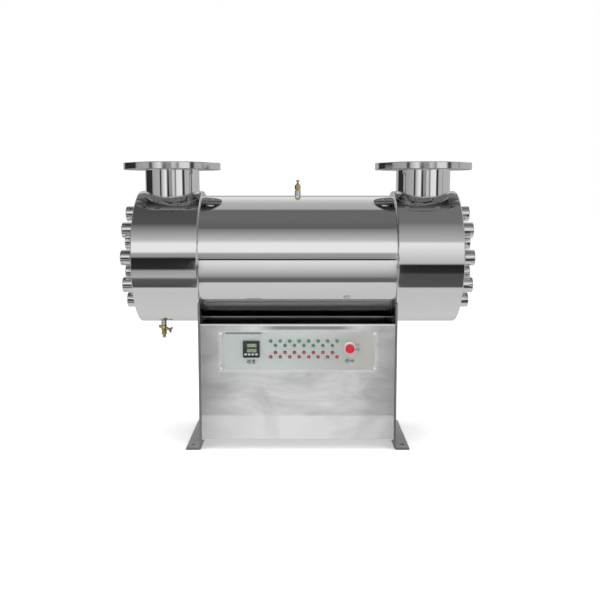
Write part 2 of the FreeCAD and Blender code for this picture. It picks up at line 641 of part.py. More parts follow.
# ---- Side plates -------------------------------------------------------------------------------------------
def side_plate():
    """The right-hand leg: a plate cut to the drum at its top and bent outwards into a foot at its bottom."""
    tip_z = AXIS_Z - math.sqrt(drum_r ** 2 - leg_y ** 2) - LEG_HORN_DROP
    foot_x = leg_outer_x + FOOT_WIDTH
    outer_bend = FOOT_BEND_R + LEG_T
    slant = math.sqrt(0.5)

    def at(x, z):
        return V(x, -leg_y, z)

    inner_mid = at(leg_outer_x + FOOT_BEND_R * (1 - slant), LEG_T + FOOT_BEND_R * (1 - slant))
    outer_mid = at(leg_inner_x + outer_bend * (1 - slant), outer_bend * (1 - slant))
    edges = [
        Part.LineSegment(at(leg_inner_x, tip_z), at(leg_outer_x, tip_z)),
        Part.LineSegment(at(leg_outer_x, tip_z), at(leg_outer_x, LEG_T + FOOT_BEND_R)),
        Part.Arc(at(leg_outer_x, LEG_T + FOOT_BEND_R), inner_mid, at(leg_outer_x + FOOT_BEND_R, LEG_T)),
        Part.LineSegment(at(leg_outer_x + FOOT_BEND_R, LEG_T), at(foot_x, LEG_T)),
        Part.LineSegment(at(foot_x, LEG_T), at(foot_x, 0)),
        Part.LineSegment(at(foot_x, 0), at(leg_inner_x + outer_bend, 0)),
        Part.Arc(at(leg_inner_x + outer_bend, 0), outer_mid, at(leg_inner_x, outer_bend)),
        Part.LineSegment(at(leg_inner_x, outer_bend), at(leg_inner_x, tip_z)),
    ]
    plate = Part.Face(Part.Wire([e.toShape() for e in edges])).extrude(V(0, LEG_DEPTH, 0))
    cuts = [rod((0, 0, AXIS_Z), (1, 0, 0), end_x, drum_r)]
    for side in (-1, 1):
        hole_x = leg_outer_x + FOOT_BEND_R + ANCHOR_INSET
        cuts.append(rod((hole_x, side * ANCHOR_PITCH / 2, 0), (0, 0, 1), LEG_T, ANCHOR_HOLE_D / 2))
    return plate.cut(cuts)


# ---- Panel pieces ------------------------------------------------------------------------------------------
panel_z = PANEL_TOP_Z - PANEL_HEIGHT / 2


def light_places(bank):
    """(x, z) of a bank's lamps in two staggered rows. Bank 0 is green, with its long row on top; 1 is red."""
    top_z = LIGHT_TOP_Z - LIGHT_BANK_STEP * bank
    rows = ((LIGHT_COLUMNS, top_z), (LIGHT_COLUMNS - 1, top_z - LIGHT_ROW_STEP))
    if bank:
        rows = ((LIGHT_COLUMNS - 1, top_z), (LIGHT_COLUMNS, top_z - LIGHT_ROW_STEP))
    return [(LIGHTS_X + (i - (count - 1) / 2) * LIGHT_PITCH, z) for count, z in rows for i in range(count)]


def screw_places():
    x = PANEL_WIDTH / 2 - PANEL_SCREW_INSET_X
    z = PANEL_HEIGHT / 2 - PANEL_SCREW_INSET_Z
    return [(sx * x, panel_z + sz * z) for sx in (-1, 1) for sz in (-1, 1)]


def panel_cutouts(y_back, y_front):
    """The holes that the panel, the film and the cabinet's front share."""
    depth = y_back - y_front
    half = TIMER_BODY_SIZE / 2 + HOLE_GAP
    cuts = [box((TIMER_X - half, TIMER_X + half), (y_front, y_back), (TIMER_Z - half, TIMER_Z + half))]
    places = [(x, z, LIGHT_BARREL_D) for bank in (0, 1) for x, z in light_places(bank)]
    places += [(x, z, PANEL_SCREW_D) for x, z in screw_places()]
    places.append((SWITCH_X, SWITCH_Z, SWITCH_BARREL_D))
    for x, z, diameter in places:
        cuts.append(rod((x, y_front, z), (0, 1, 0), depth, diameter / 2 + HOLE_GAP))
    return cuts


def control_panel():
    plate = rounded_plate(0, panel_z, PANEL_WIDTH, PANEL_HEIGHT, PANEL_CORNER_R, panel_y, panel_face_y)
    return plate.cut(panel_cutouts(panel_y, panel_face_y))


def panel_film():
    """The thin legend sheet that the clear panel clamps to the cabinet."""
    film = rounded_plate(FILM_SHIFT_X, panel_z, FILM_WIDTH, FILM_HEIGHT, PANEL_CORNER_R, cabinet_front_y, panel_y)
    return film.cut(panel_cutouts(cabinet_front_y, panel_y))


def panel_screw(x, z):
    head = rod((x, panel_face_y, z), (0, -1, 0), PANEL_SCREW_HEAD_T, PANEL_SCREW_HEAD_D / 2)
    rim = [e for e in head.Edges if e.Curve.TypeId == "Part::GeomCircle"
           and e.CenterOfMass.y < panel_face_y - PANEL_SCREW_HEAD_T + 0.01]
    head = head.makeFillet(PANEL_SCREW_HEAD_T * 0.7, rim)
    slot_y = panel_face_y - PANEL_SCREW_HEAD_T
    slot = box((x - PANEL_SCREW_HEAD_D, x + PANEL_SCREW_HEAD_D), (slot_y, slot_y + PANEL_SCREW_HEAD_T / 2),
               (z - PANEL_SCREW_SLOT / 2, z + PANEL_SCREW_SLOT / 2))
    return head.fuse(rod((x, panel_face_y, z), (0, 1, 0), PANEL_SCREW_LENGTH, PANEL_SCREW_D / 2)).cut(slot)


def panel_nut(x, z):
    y = cabinet_front_y + CABINET_T
    nut = hexagon((x, y, z), (0, 1, 0), PANEL_NUT_AF, PANEL_NUT_T)
    return nut.cut(rod((x, y, z), (0, 1, 0), PANEL_NUT_T, PANEL_SCREW_D / 2))


def light_bezel(x, z):
    """A bright ring on the panel with a threaded barrel behind it."""
    ring = [(-LIGHT_BEZEL_T, LIGHT_LENS_D / 2), (-LIGHT_BEZEL_T, LIGHT_BEZEL_D / 2 - 0.8),
            (-LIGHT_BEZEL_T + 0.8, LIGHT_BEZEL_D / 2), (0, LIGHT_BEZEL_D / 2), (0, LIGHT_BARREL_D / 2),
            (LIGHT_BARREL_L, LIGHT_BARREL_D / 2), (LIGHT_BARREL_L, 0), (0, 0), (0, LIGHT_LENS_D / 2)]
    return turned(ring, (x, panel_face_y, z), (0, 1, 0))


def light_lens(x, z):
    """A domed lens seated in its bezel."""
    dome_r = ((LIGHT_LENS_D / 2) ** 2 + LIGHT_LENS_PROUD ** 2) / (2 * LIGHT_LENS_PROUD)
    base = rod((x, panel_face_y - LIGHT_BEZEL_T - LIGHT_LENS_PROUD, z), (0, 1, 0),
               LIGHT_BEZEL_T + LIGHT_LENS_PROUD, LIGHT_LENS_D / 2)
    top_y = panel_face_y - LIGHT_BEZEL_T - LIGHT_LENS_PROUD
    ball = Part.makeSphere(dome_r, V(x, top_y + dome_r, z))
    reach = box((x - LIGHT_LENS_D, x + LIGHT_LENS_D), (top_y, panel_face_y - LIGHT_BEZEL_T),
                (z - LIGHT_LENS_D, z + LIGHT_LENS_D))
    cap = ball.common(reach)
    return base.common(cap.fuse(base.cut(reach)))


# ---- Timer -------------------------------------------------------------------------------------------------
timer_face_y = panel_face_y - TIMER_PROUD + TIMER_FACE_DEPTH


def key_x(i):
    return TIMER_X + KEY_SHIFT_X + (i - (KEY_COUNT - 1) / 2) * KEY_PITCH


def window_boxes(y_front, y_back):
    """The two display windows as boxes between two depths."""
    half_w = WINDOW_WIDTH / 2
    half_h = WINDOW_HEIGHT / 2
    x = TIMER_X + WINDOW_SHIFT_X
    return [box((x - half_w, x + half_w), (y_front, y_back), (TIMER_Z + dz - half_h, TIMER_Z + dz + half_h))
            for dz in (WINDOW_HIGH_Z, WINDOW_LOW_Z)]


def timer_bezel():
    """The square front of the timer, with a raised rim and pockets for the windows, pips and keys."""
    front_y = panel_face_y - TIMER_PROUD
    front = rounded_plate(TIMER_X, TIMER_Z, TIMER_SIZE, TIMER_SIZE, TIMER_CORNER_R, panel_face_y, front_y)
    inner = TIMER_SIZE - 2 * TIMER_RIM
    cuts = [rounded_plate(TIMER_X, TIMER_Z, inner, inner, TIMER_CORNER_R, timer_face_y, front_y)]
    cuts += window_boxes(timer_face_y, timer_face_y + WINDOW_T)
    cuts += pip_boxes(timer_face_y, timer_face_y + WINDOW_T)
    pocket = KEY_DEPTH + KEY_TRAVEL + KEY_GAP
    half_w = KEY_WIDTH / 2 + KEY_GAP
    half_h = KEY_HEIGHT / 2 + KEY_GAP
    for i in range(KEY_COUNT):
        cuts.append(box((key_x(i) - half_w, key_x(i) + half_w), (timer_face_y, timer_face_y + pocket),
                        (TIMER_Z + KEY_Z - half_h, TIMER_Z + KEY_Z + half_h)))
    return front.cut(cuts)


def pip_boxes(y_front, y_back):
    """The small status lamps down the timer's left side."""
    x = TIMER_X + PIP_SHIFT_X
    tops = [TIMER_Z + PIP_TOP_Z - PIP_PITCH * i for i in range(PIP_COUNT)]
    return [box((x - PIP_SIZE / 2, x + PIP_SIZE / 2), (y_front, y_back), (z - PIP_SIZE / 2, z + PIP_SIZE / 2))
            for z in tops]


def timer_body():
    half = TIMER_BODY_SIZE / 2
    return box((TIMER_X - half, TIMER_X + half), (panel_face_y, panel_face_y + TIMER_BODY_DEPTH),
               (TIMER_Z - half, TIMER_Z + half))


def timer_key(i):
    half_w, half_h = KEY_WIDTH / 2, KEY_HEIGHT / 2
    key = box((key_x(i) - half_w, key_x(i) + half_w), (timer_face_y - KEY_PROUD, timer_face_y + KEY_DEPTH),
              (TIMER_Z + KEY_Z - half_h, TIMER_Z + KEY_Z + half_h))
    front = [e for e in key.Edges if e.CenterOfMass.y < timer_face_y - KEY_PROUD + 0.01]
    return key.makeFillet(KEY_PROUD * 0.5, front)


# ---- Switch ------------------------------------------------------------------------------------------------
switch_mouth_y = panel_face_y - SWITCH_FLANGE_T - SWITCH_COLLAR_L
head_back_y = switch_mouth_y - SWITCH_HEAD_PROUD + SWITCH_HEAD_L
switch_floor_y = panel_face_y - SWITCH_FLANGE_T


def switch_collar():
    """A bright guard round the push head, on a flange, with its barrel through the panel."""
    bore_r = SWITCH_HEAD_D / 2 + SWITCH_HEAD_GAP
    stem_r = SWITCH_STEM_D / 2 + RUN_CLEARANCE
    barrel_y = cabinet_front_y + CABINET_T + SWITCH_RING_T + 2
    profile = [
        (switch_mouth_y, bore_r), (switch_mouth_y, SWITCH_COLLAR_D / 2 - 0.7),
        (switch_mouth_y + 0.7, SWITCH_COLLAR_D / 2), (switch_floor_y, SWITCH_COLLAR_D / 2),
        (switch_floor_y, SWITCH_FLANGE_D / 2 - 1), (switch_floor_y + 1, SWITCH_FLANGE_D / 2),
        (panel_face_y, SWITCH_FLANGE_D / 2), (panel_face_y, SWITCH_BARREL_D / 2),
        (barrel_y, SWITCH_BARREL_D / 2), (barrel_y, stem_r), (switch_floor_y, stem_r), (switch_floor_y, bore_r),
    ]
    return turned(profile, (SWITCH_X, 0, SWITCH_Z), (0, 1, 0))


def switch_plunger():
    """The stem that the head pushes into the contact block."""
    start = head_back_y - SWITCH_HEAD_L / 2
    end = cabinet_front_y + CABINET_T + SWITCH_RING_T + 2
    return rod((SWITCH_X, start, SWITCH_Z), (0, 1, 0), end - start, SWITCH_STEM_D / 2)


def switch_head():
    """The round red head, pressed on to the plunger, with a small index mark."""
    front_y = switch_mouth_y - SWITCH_HEAD_PROUD
    head = rod((SWITCH_X, front_y, SWITCH_Z), (0, 1, 0), SWITCH_HEAD_L, SWITCH_HEAD_D / 2)
    rim = [e for e in head.Edges if e.Curve.TypeId == "Part::GeomCircle" and e.CenterOfMass.y < front_y + 0.01]
    head = head.makeFillet(SWITCH_HEAD_DOME, rim)
    socket = rod((SWITCH_X, head_back_y - SWITCH_HEAD_L / 2, SWITCH_Z), (0, 1, 0), SWITCH_HEAD_L / 2,
                 SWITCH_STEM_D / 2)
    mark = box((SWITCH_X - SWITCH_MARK / 4, SWITCH_X + SWITCH_MARK / 4), (front_y, front_y + 0.5),
               (SWITCH_Z + SWITCH_HEAD_D / 4, SWITCH_Z + SWITCH_HEAD_D / 4 + SWITCH_MARK))
    return head.cut([socket, mark])


def switch_ring():
    y = cabinet_front_y + CABINET_T
    return pipe((SWITCH_X, y, SWITCH_Z), (0, 1, 0), SWITCH_RING_T, SWITCH_RING_D / 2, SWITCH_BARREL_D / 2)


def switch_block():
    """The contact block behind the barrel, bored for the plunger's travel."""
    y = cabinet_front_y + CABINET_T + SWITCH_RING_T + 2
    block = box((SWITCH_X - SWITCH_BLOCK_W / 2, SWITCH_X + SWITCH_BLOCK_W / 2), (y, y + SWITCH_BLOCK_L),
                (SWITCH_Z - SWITCH_BLOCK_H / 2, SWITCH_Z + SWITCH_BLOCK_H / 2))
    return block.cut(rod((SWITCH_X, y, SWITCH_Z), (0, 1, 0), SWITCH_TRAVEL + 1,
                         SWITCH_STEM_D / 2 + RUN_CLEARANCE))


# ---- Cabinet -----------------------------------------------------------------------------------------------
strip_z = CABINET_BOTTOM_Z + (CABLE_STRIP_H - DOOR_LAP) / 2


def cabinet_shell():
    """A folded sheet box, open at the back inside a frame, with a fixed strip for the cable glands."""
    outer = box((-cabinet_x, cabinet_x), (cabinet_front_y, cabinet_back_y), (CABINET_BOTTOM_Z, cabinet_top_z))
    front = [e for e in outer.Edges if abs(e.tangentAt(e.FirstParameter).x) > 0.99
             and e.CenterOfMass.y < cabinet_front_y + 0.01]
    outer = outer.makeFillet(CABINET_BEND_R, front)
    t = CABINET_T
    inner = box((-cabinet_x + t, cabinet_x - t), (cabinet_front_y + t, cabinet_back_y - t),
                (CABINET_BOTTOM_Z + t, cabinet_top_z - t))
    inner_front = [e for e in inner.Edges if abs(e.tangentAt(e.FirstParameter).x) > 0.99
                   and e.CenterOfMass.y < cabinet_front_y + t + 0.01]
    inner = inner.makeFillet(CABINET_BEND_R - t, inner_front)
    opening = box((-opening_x, opening_x), (cabinet_back_y - t, cabinet_back_y),
                  (opening_low_z, opening_high_z))
    cuts = [inner, opening] + panel_cutouts(cabinet_front_y + t, cabinet_front_y)
    for x in GLAND_XS:
        cuts.append(rod((x, cabinet_back_y - t, strip_z), (0, 1, 0), t, GLAND_THREAD_D / 2))
    return outer.cut(cuts)


def cable_gland(x):
    """A gland body with its hexagon and domed nut outside the strip."""
    thread_y = cabinet_back_y - CABINET_T - GLAND_LOCKNUT_T - 2
    thread = rod((x, thread_y, strip_z), (0, 1, 0), cabinet_back_y - thread_y, GLAND_THREAD_D / 2)
    hexed = hexagon((x, cabinet_back_y, strip_z), (0, 1, 0), GLAND_HEX_AF, GLAND_HEX_T)
    dome = rod((x, cabinet_back_y + GLAND_HEX_T, strip_z), (0, 1, 0), GLAND_DOME_L, GLAND_DOME_D / 2)
    tip_y = cabinet_back_y + GLAND_HEX_T + GLAND_DOME_L
    rim = [e for e in dome.Edges if e.Curve.TypeId == "Part::GeomCircle" and e.CenterOfMass.y > tip_y - 0.01]
    dome = dome.makeFillet(GLAND_DOME_EDGE, rim)
    way = rod((x, thread_y, strip_z), (0, 1, 0), tip_y - thread_y, GLAND_BORE_D / 2)
    return thread.fuse([hexed, dome]).cut(way)


def gland_locknut(x):
    y = cabinet_back_y - CABINET_T - GLAND_LOCKNUT_T
    nut = hexagon((x, y, strip_z), (0, 1, 0), GLAND_LOCKNUT_AF, GLAND_LOCKNUT_T)
    return nut.cut(rod((x, y, strip_z), (0, 1, 0), GLAND_LOCKNUT_T, GLAND_THREAD_D / 2))


# ---- Rear door ---------------------------------------------------------------------------------------------
hinge_x = -door_x - HINGE_BARREL_D / 2 - KNUCKLE_GAP
hinge_y = door_y + DOOR_T + HINGE_BARREL_D / 2 - HINGE_LEAF_T
lock_x = door_x - LOCK_INSET
lock_z = (door_low_z + door_high_z) / 2
cam_y = cabinet_back_y - CABINET_T - LOCK_CAM_GAP - LOCK_CAM_T
lock_back_y = cam_y + LOCK_CAM_T + SIDE_GAP


def louvre_places():
    rows = [lock_z + (i - (LOUVRE_ROWS - 1) / 2) * LOUVRE_PITCH for i in range(LOUVRE_ROWS)]
    return [(side * LOUVRE_X, z) for side in (-1, 1) for z in rows]


def louvre_hood(x, z):
    """A pressed hood over a slot: a quarter-round roof, open below, with closed ends."""
    outer_y = door_y + DOOR_T
    solid = rod((x - LOUVRE_LENGTH / 2, outer_y, z), (1, 0, 0), LOUVRE_LENGTH, LOUVRE_R)
    hollow = rod((x - LOUVRE_LENGTH / 2 + LOUVRE_T, outer_y, z), (1, 0, 0), LOUVRE_LENGTH - 2 * LOUVRE_T,
                 LOUVRE_R - LOUVRE_T)
    upper = box((x - LOUVRE_LENGTH, x + LOUVRE_LENGTH), (outer_y, outer_y + LOUVRE_R), (z, z + LOUVRE_R))
    return solid.common(upper).cut(hollow)


def door_panel():
    """The rear door: a sheet with louvres and a hole for the lock."""
    sheet = box((-door_x, door_x), (door_y, door_y + DOOR_T), (door_low_z, door_high_z))
    cuts = [rod((lock_x, door_y, lock_z), (0, 1, 0), DOOR_T, LOCK_BODY_D / 2)]
    hoods = []
    for x, z in louvre_places():
        half = LOUVRE_LENGTH / 2 - LOUVRE_T
        cuts.append(box((x - half, x + half), (door_y, door_y + DOOR_T), (z, z + LOUVRE_R - LOUVRE_T)))
        hoods.append(louvre_hood(x, z))
    return sheet.cut(cuts).fuse(hoods)


def door_gasket():
    """A rubber strip round the inside of the door, facing the frame."""
    y = (door_y - GASKET_T, door_y)
    outer = box((-door_x, door_x), y, (door_low_z, door_high_z))
    inner = box((-door_x + GASKET_W, door_x - GASKET_W), y, (door_low_z + GASKET_W, door_high_z - GASKET_W))
    return outer.cut(inner)


def hinge_places():
    """The middle height of each hinge."""
    return [door_low_z + HINGE_INSET, door_high_z - HINGE_INSET]


def knuckle_spans(z):
    """Bottom, middle and top knuckles as (low, high); the door has the middle one."""
    third = HINGE_LENGTH / 3
    low = z - HINGE_LENGTH / 2
    return [(low, low + third), (low + third + KNUCKLE_GAP, low + 2 * third - KNUCKLE_GAP),
            (low + 2 * third, low + HINGE_LENGTH)]


def frame_leaf(z):
    """The hinge leaf on the cabinet's frame, with the two outer knuckles."""
    reach = HINGE_BARREL_D / 2
    low, high = z - HINGE_LENGTH / 2, z + HINGE_LENGTH / 2
    leaf = box((hinge_x - reach, hinge_x + reach), (cabinet_back_y, cabinet_back_y + HINGE_LEAF_T), (low, high))
    parts = []
    for span in (knuckle_spans(z)[0], knuckle_spans(z)[2]):
        parts.append(rod((hinge_x, hinge_y, span[0]), (0, 0, 1), span[1] - span[0], reach))
        parts.append(box((hinge_x - reach, hinge_x - reach + HINGE_LEAF_T), (cabinet_back_y, hinge_y), span))
    bore = rod((hinge_x, hinge_y, low), (0, 0, 1), HINGE_LENGTH, HINGE_PIN_D / 2)
    return leaf.fuse(parts).cut(bore)


def door_leaf(z):
    """The hinge leaf on the door, with the middle knuckle."""
    low, high = knuckle_spans(z)[1]
    outer_y = door_y + DOOR_T
    barrel = rod((hinge_x, hinge_y, low), (0, 0, 1), high - low, HINGE_BARREL_D / 2)
    arm = box((hinge_x, -door_x), (outer_y, outer_y + HINGE_LEAF_T), (low, high))
    plate = box((-door_x, -door_x + HINGE_LEAF_W), (outer_y, outer_y + HINGE_LEAF_T),
                (z - HINGE_LENGTH / 2, z + HINGE_LENGTH / 2))
    bore = rod((hinge_x, hinge_y, low), (0, 0, 1), high - low, HINGE_PIN_D / 2 + RUN_CLEARANCE)
    return barrel.fuse([arm, plate]).cut(bore)


def hinge_pin(z):
    pin = rod((hinge_x, hinge_y, z - HINGE_LENGTH / 2), (0, 0, 1), HINGE_LENGTH, HINGE_PIN_D / 2)
    head = rod((hinge_x, hinge_y, z + HINGE_LENGTH / 2), (0, 0, 1), HINGE_HEAD_T, HINGE_HEAD_D / 2)
    return pin.fuse(head)


def lock_body():
    """The lock's barrel through the door, with a round head outside."""
    outer_y = door_y + DOOR_T
    barrel = rod((lock_x, lock_back_y, lock_z), (0, 1, 0), outer_y - lock_back_y, LOCK_BODY_D / 2)
    head = rod((lock_x, outer_y, lock_z), (0, 1, 0), LOCK_HEAD_T, LOCK_HEAD_D / 2)
    bore = rod((lock_x, lock_back_y, lock_z), (0, 1, 0), outer_y + LOCK_HEAD_T - lock_back_y,
               LOCK_CORE_D / 2 + RUN_CLEARANCE)
    return barrel.fuse(head).cut(bore)


def lock_cam():
    """The lock's core with a driver slot outside and the cam that turns behind the frame."""
    front_y = door_y + DOOR_T + LOCK_HEAD_T + LOCK_CORE_PROUD
    core = rod((lock_x, cam_y, lock_z), (0, 1, 0), front_y - cam_y, LOCK_CORE_D / 2)
    cam = box((lock_x - LOCK_CAM_W / 2, lock_x + LOCK_CAM_W / 2), (cam_y, cam_y + LOCK_CAM_T),
              (lock_z, lock_z + LOCK_CAM_LENGTH))
    slot = box((lock_x - LOCK_SLOT / 2, lock_x + LOCK_SLOT / 2), (front_y - LOCK_SLOT, front_y),
               (lock_z - LOCK_CORE_D, lock_z + LOCK_CORE_D))
    return core.fuse(cam).cut(slot)


# ---- Electrical tray ---------------------------------------------------------------------------------------
tray_face_y = TRAY_Y + TRAY_T
rail_face_y = tray_face_y + RAIL_DEPTH


def equipment_tray():
    wall_x = cabinet_x - CABINET_T
    return box((-wall_x, wall_x), (TRAY_Y, tray_face_y),
               (CABINET_BOTTOM_Z + CABINET_T, cabinet_top_z - CABINET_T - TRAY_GAP_Z))


def ballast(column, row):
    """One electronic ballast: a case with a screw ear at each end."""
    x = (column - (BALLAST_COLUMNS - 1) / 2) * BALLAST_PITCH_X
    z = BALLAST_TOP_Z - BALLAST_H / 2 - row * BALLAST_PITCH_Z
    half_w = BALLAST_W / 2 - BALLAST_EAR
    case = box((x - half_w, x + half_w), (tray_face_y, tray_face_y + BALLAST_D),
               (z - BALLAST_H / 2, z + BALLAST_H / 2))
    ears = box((x - BALLAST_W / 2, x + BALLAST_W / 2), (tray_face_y, tray_face_y + BALLAST_EAR_T),
               (z - BALLAST_H / 4, z + BALLAST_H / 4))
    return case.fuse(ears)


def din_rail():
    """A top-hat rail."""
    half = RAIL_HEIGHT / 2
    base = box((-RAIL_LENGTH / 2, RAIL_LENGTH / 2), (tray_face_y, tray_face_y + RAIL_T),
               (RAIL_Z - half + RAIL_LIP, RAIL_Z + half - RAIL_LIP))
    parts = []
    for side in (-1, 1):
        inner = RAIL_Z + side * (half - RAIL_LIP)
        outer = RAIL_Z + side * half
        wall = sorted((inner, inner - side * RAIL_T))
        parts.append(box((-RAIL_LENGTH / 2, RAIL_LENGTH / 2), (tray_face_y, rail_face_y), wall))
        parts.append(box((-RAIL_LENGTH / 2, RAIL_LENGTH / 2), (rail_face_y - RAIL_T, rail_face_y),
                         sorted((inner - side * RAIL_T, outer))))
    return base.fuse(parts)


toggle_y = rail_face_y + BREAKER_D + BREAKER_NOSE_D - TOGGLE_R - 1


def breaker():
    """The main breaker, with a slot in its nose for the toggle."""
    half = BREAKER_W / 2
    body = box((BREAKER_X - half, BREAKER_X + half), (rail_face_y, rail_face_y + BREAKER_D),
               (RAIL_Z - BREAKER_H / 2, RAIL_Z + BREAKER_H / 2))
    nose_y = rail_face_y + BREAKER_D
    nose = box((BREAKER_X - half, BREAKER_X + half), (nose_y, nose_y + BREAKER_NOSE_D),
               (RAIL_Z - BREAKER_NOSE_H / 2, RAIL_Z + BREAKER_NOSE_H / 2))
    slot = TOGGLE_T / 2 + SIDE_GAP
    well = TOGGLE_R + SIDE_GAP
    pocket = rod((BREAKER_X - slot, toggle_y, RAIL_Z), (1, 0, 0), 2 * slot, well)
    mouth = box((BREAKER_X - slot, BREAKER_X + slot), (toggle_y, nose_y + BREAKER_NOSE_D),
                (RAIL_Z - well, RAIL_Z + well))
    pin = rod((BREAKER_X - half, toggle_y, RAIL_Z), (1, 0, 0), BREAKER_W, TOGGLE_PIN_D / 2)
    return body.fuse(nose).cut([pocket, mouth]).fuse(pin)


def breaker_toggle():
    """The breaker's lever on its drum, shown on."""
    drum_part = rod((BREAKER_X - TOGGLE_T / 2, toggle_y, RAIL_Z), (1, 0, 0), TOGGLE_T, TOGGLE_R)
    lever = box((BREAKER_X - TOGGLE_T / 2, BREAKER_X + TOGGLE_T / 2), (toggle_y, toggle_y + TOGGLE_R + TOGGLE_LEVER),
                (RAIL_Z - TOGGLE_LEVER_T / 2, RAIL_Z + TOGGLE_LEVER_T / 2))
    lever.rotate(V(BREAKER_X, toggle_y, RAIL_Z), V(1, 0, 0), TOGGLE_SWING / 2)
    bore = rod((BREAKER_X - TOGGLE_T / 2, toggle_y, RAIL_Z), (1, 0, 0), TOGGLE_T,
               TOGGLE_PIN_D / 2 + RUN_CLEARANCE)
    return drum_part.fuse(lever).cut(bore)


def terminal(i):
    x = TERMINAL_X + i * TERMINAL_W
    return box((x, x + TERMINAL_W), (rail_face_y, rail_face_y + TERMINAL_D),
               (RAIL_Z - TERMINAL_H / 2, RAIL_Z + TERMINAL_H / 2))


# ---- All nodes ---------------------------------------------------------------------------------------------
def main():
    os.makedirs(OUT, exist_ok=True)
    places = sleeve_places()
    right_drum, left_drum = both_sides(drum())
    save("chamber_shell", chamber_shell())
    save("right_drum", right_drum)
    save("left_drum", left_drum.cut(drain_hole()))
    pairs = {
        "end_plate": end_plate(),
        "nozzle": nozzle(),
        "flange": flange(),
        "side_plate": side_plate(),
    }
    for name, shape in pairs.items():
        right, left = both_sides(shape)
        save("right_" + name, right)
        save("left_" + name, left)
    sleeve_pieces = {
        "gland_sockets": gland_socket,
        "gland_nuts": gland_nut,
        "seal_rings": seal_ring,
        "cable_caps": cable_cap,
        "lamp_bases": lamp_base,
    }
    for name, piece in sleeve_pieces.items():
        save(name, group([side for y, z in places for side in both_sides(piece(y, z))]))
    save("quartz_sleeves", group([quartz_sleeve(y, z) for y, z in places]))
    save("lamp_tubes", group([lamp_tube(y, z) for y, z in places]))
    save("baffle_plates", group([baffle(i) for i in range(BAFFLE_COUNT)]))
    save("vent_socket", vent_socket())
    save("vent_body", vent_body())
    save("vent_screw", vent_screw())
    save("drain_nipple", drain_nipple())
    save("drain_body", drain_body())
    save("drain_handle", drain_handle())
    save("cabinet_shell", cabinet_shell())
    save("control_panel", control_panel())
    save("panel_film", panel_film())
    save("panel_screws", group([panel_screw(x, z) for x, z in screw_places()]))
    save("panel_nuts", group([panel_nut(x, z) for x, z in screw_places()]))
    save("light_bezels", group([light_bezel(x, z) for bank in (0, 1) for x, z in light_places(bank)]))
    save("green_lenses", group([light_lens(x, z) for x, z in light_places(0)]))
    save("red_lenses", group([light_lens(x, z) for x, z in light_places(1)]))
    save("timer_bezel", timer_bezel())
    save("timer_body", timer_body())
    displays = (timer_face_y, timer_face_y + WINDOW_T)
    save("timer_displays", group(window_boxes(*displays) + pip_boxes(*displays)))
    for i in range(KEY_COUNT):
        save(f"timer_key_{i + 1}", timer_key(i))
    save("switch_collar", switch_collar())
    save("switch_plunger", switch_plunger())
    save("switch_head", switch_head())
    save("switch_ring", switch_ring())
    save("switch_block", switch_block())
    save("rear_door", door_panel())
    save("door_gasket", door_gasket())
    save("hinge_frame_leaves", group([frame_leaf(z) for z in hinge_places()]))
    save("hinge_door_leaves", group([door_leaf(z) for z in hinge_places()]))
    save("hinge_pins", group([hinge_pin(z) for z in hinge_places()]))
    save("lock_body", lock_body())
    save("lock_cam", lock_cam())
    save("equipment_tray", equipment_tray())
    save("ballasts", group([ballast(c, r) for c in range(BALLAST_COLUMNS) for r in range(BALLAST_ROWS)]))
    save("din_rail", din_rail())
    save("breaker", breaker())
    save("breaker_toggle", breaker_toggle())
    save("terminal_blocks", group([terminal(i) for i in range(TERMINAL_COUNT)]))
    save("cable_glands", group([cable_gland(x) for x in GLAND_XS]))
    save("gland_locknuts", group([gland_locknut(x) for x in GLAND_XS]))


main()
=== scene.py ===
import bmesh
import bpy
import json
import math
from mathutils import Matrix, Vector


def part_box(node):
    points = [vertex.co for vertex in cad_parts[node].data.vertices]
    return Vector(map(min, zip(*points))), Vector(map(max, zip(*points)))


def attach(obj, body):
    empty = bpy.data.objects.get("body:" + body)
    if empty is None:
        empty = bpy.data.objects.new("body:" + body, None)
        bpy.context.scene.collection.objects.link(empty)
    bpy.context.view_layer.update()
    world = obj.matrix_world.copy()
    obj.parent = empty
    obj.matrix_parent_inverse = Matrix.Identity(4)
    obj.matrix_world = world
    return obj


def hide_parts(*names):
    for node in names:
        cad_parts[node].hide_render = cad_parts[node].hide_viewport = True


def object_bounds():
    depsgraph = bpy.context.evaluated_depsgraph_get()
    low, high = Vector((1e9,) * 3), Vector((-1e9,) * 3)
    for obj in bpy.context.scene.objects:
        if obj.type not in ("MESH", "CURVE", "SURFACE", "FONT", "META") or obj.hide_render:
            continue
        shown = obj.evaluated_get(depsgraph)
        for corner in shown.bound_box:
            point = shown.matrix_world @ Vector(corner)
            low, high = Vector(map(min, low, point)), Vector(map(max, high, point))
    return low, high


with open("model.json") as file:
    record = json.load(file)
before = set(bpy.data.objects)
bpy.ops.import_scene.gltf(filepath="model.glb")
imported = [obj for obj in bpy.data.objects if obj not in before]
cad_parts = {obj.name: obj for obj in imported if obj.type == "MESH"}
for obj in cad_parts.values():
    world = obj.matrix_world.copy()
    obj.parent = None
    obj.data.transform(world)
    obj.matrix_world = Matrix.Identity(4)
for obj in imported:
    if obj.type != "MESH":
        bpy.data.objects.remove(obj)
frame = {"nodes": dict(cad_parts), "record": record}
cad_low, cad_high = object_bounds()

MM = 0.001
CHASSIS = "chassis"
scene = bpy.context.scene


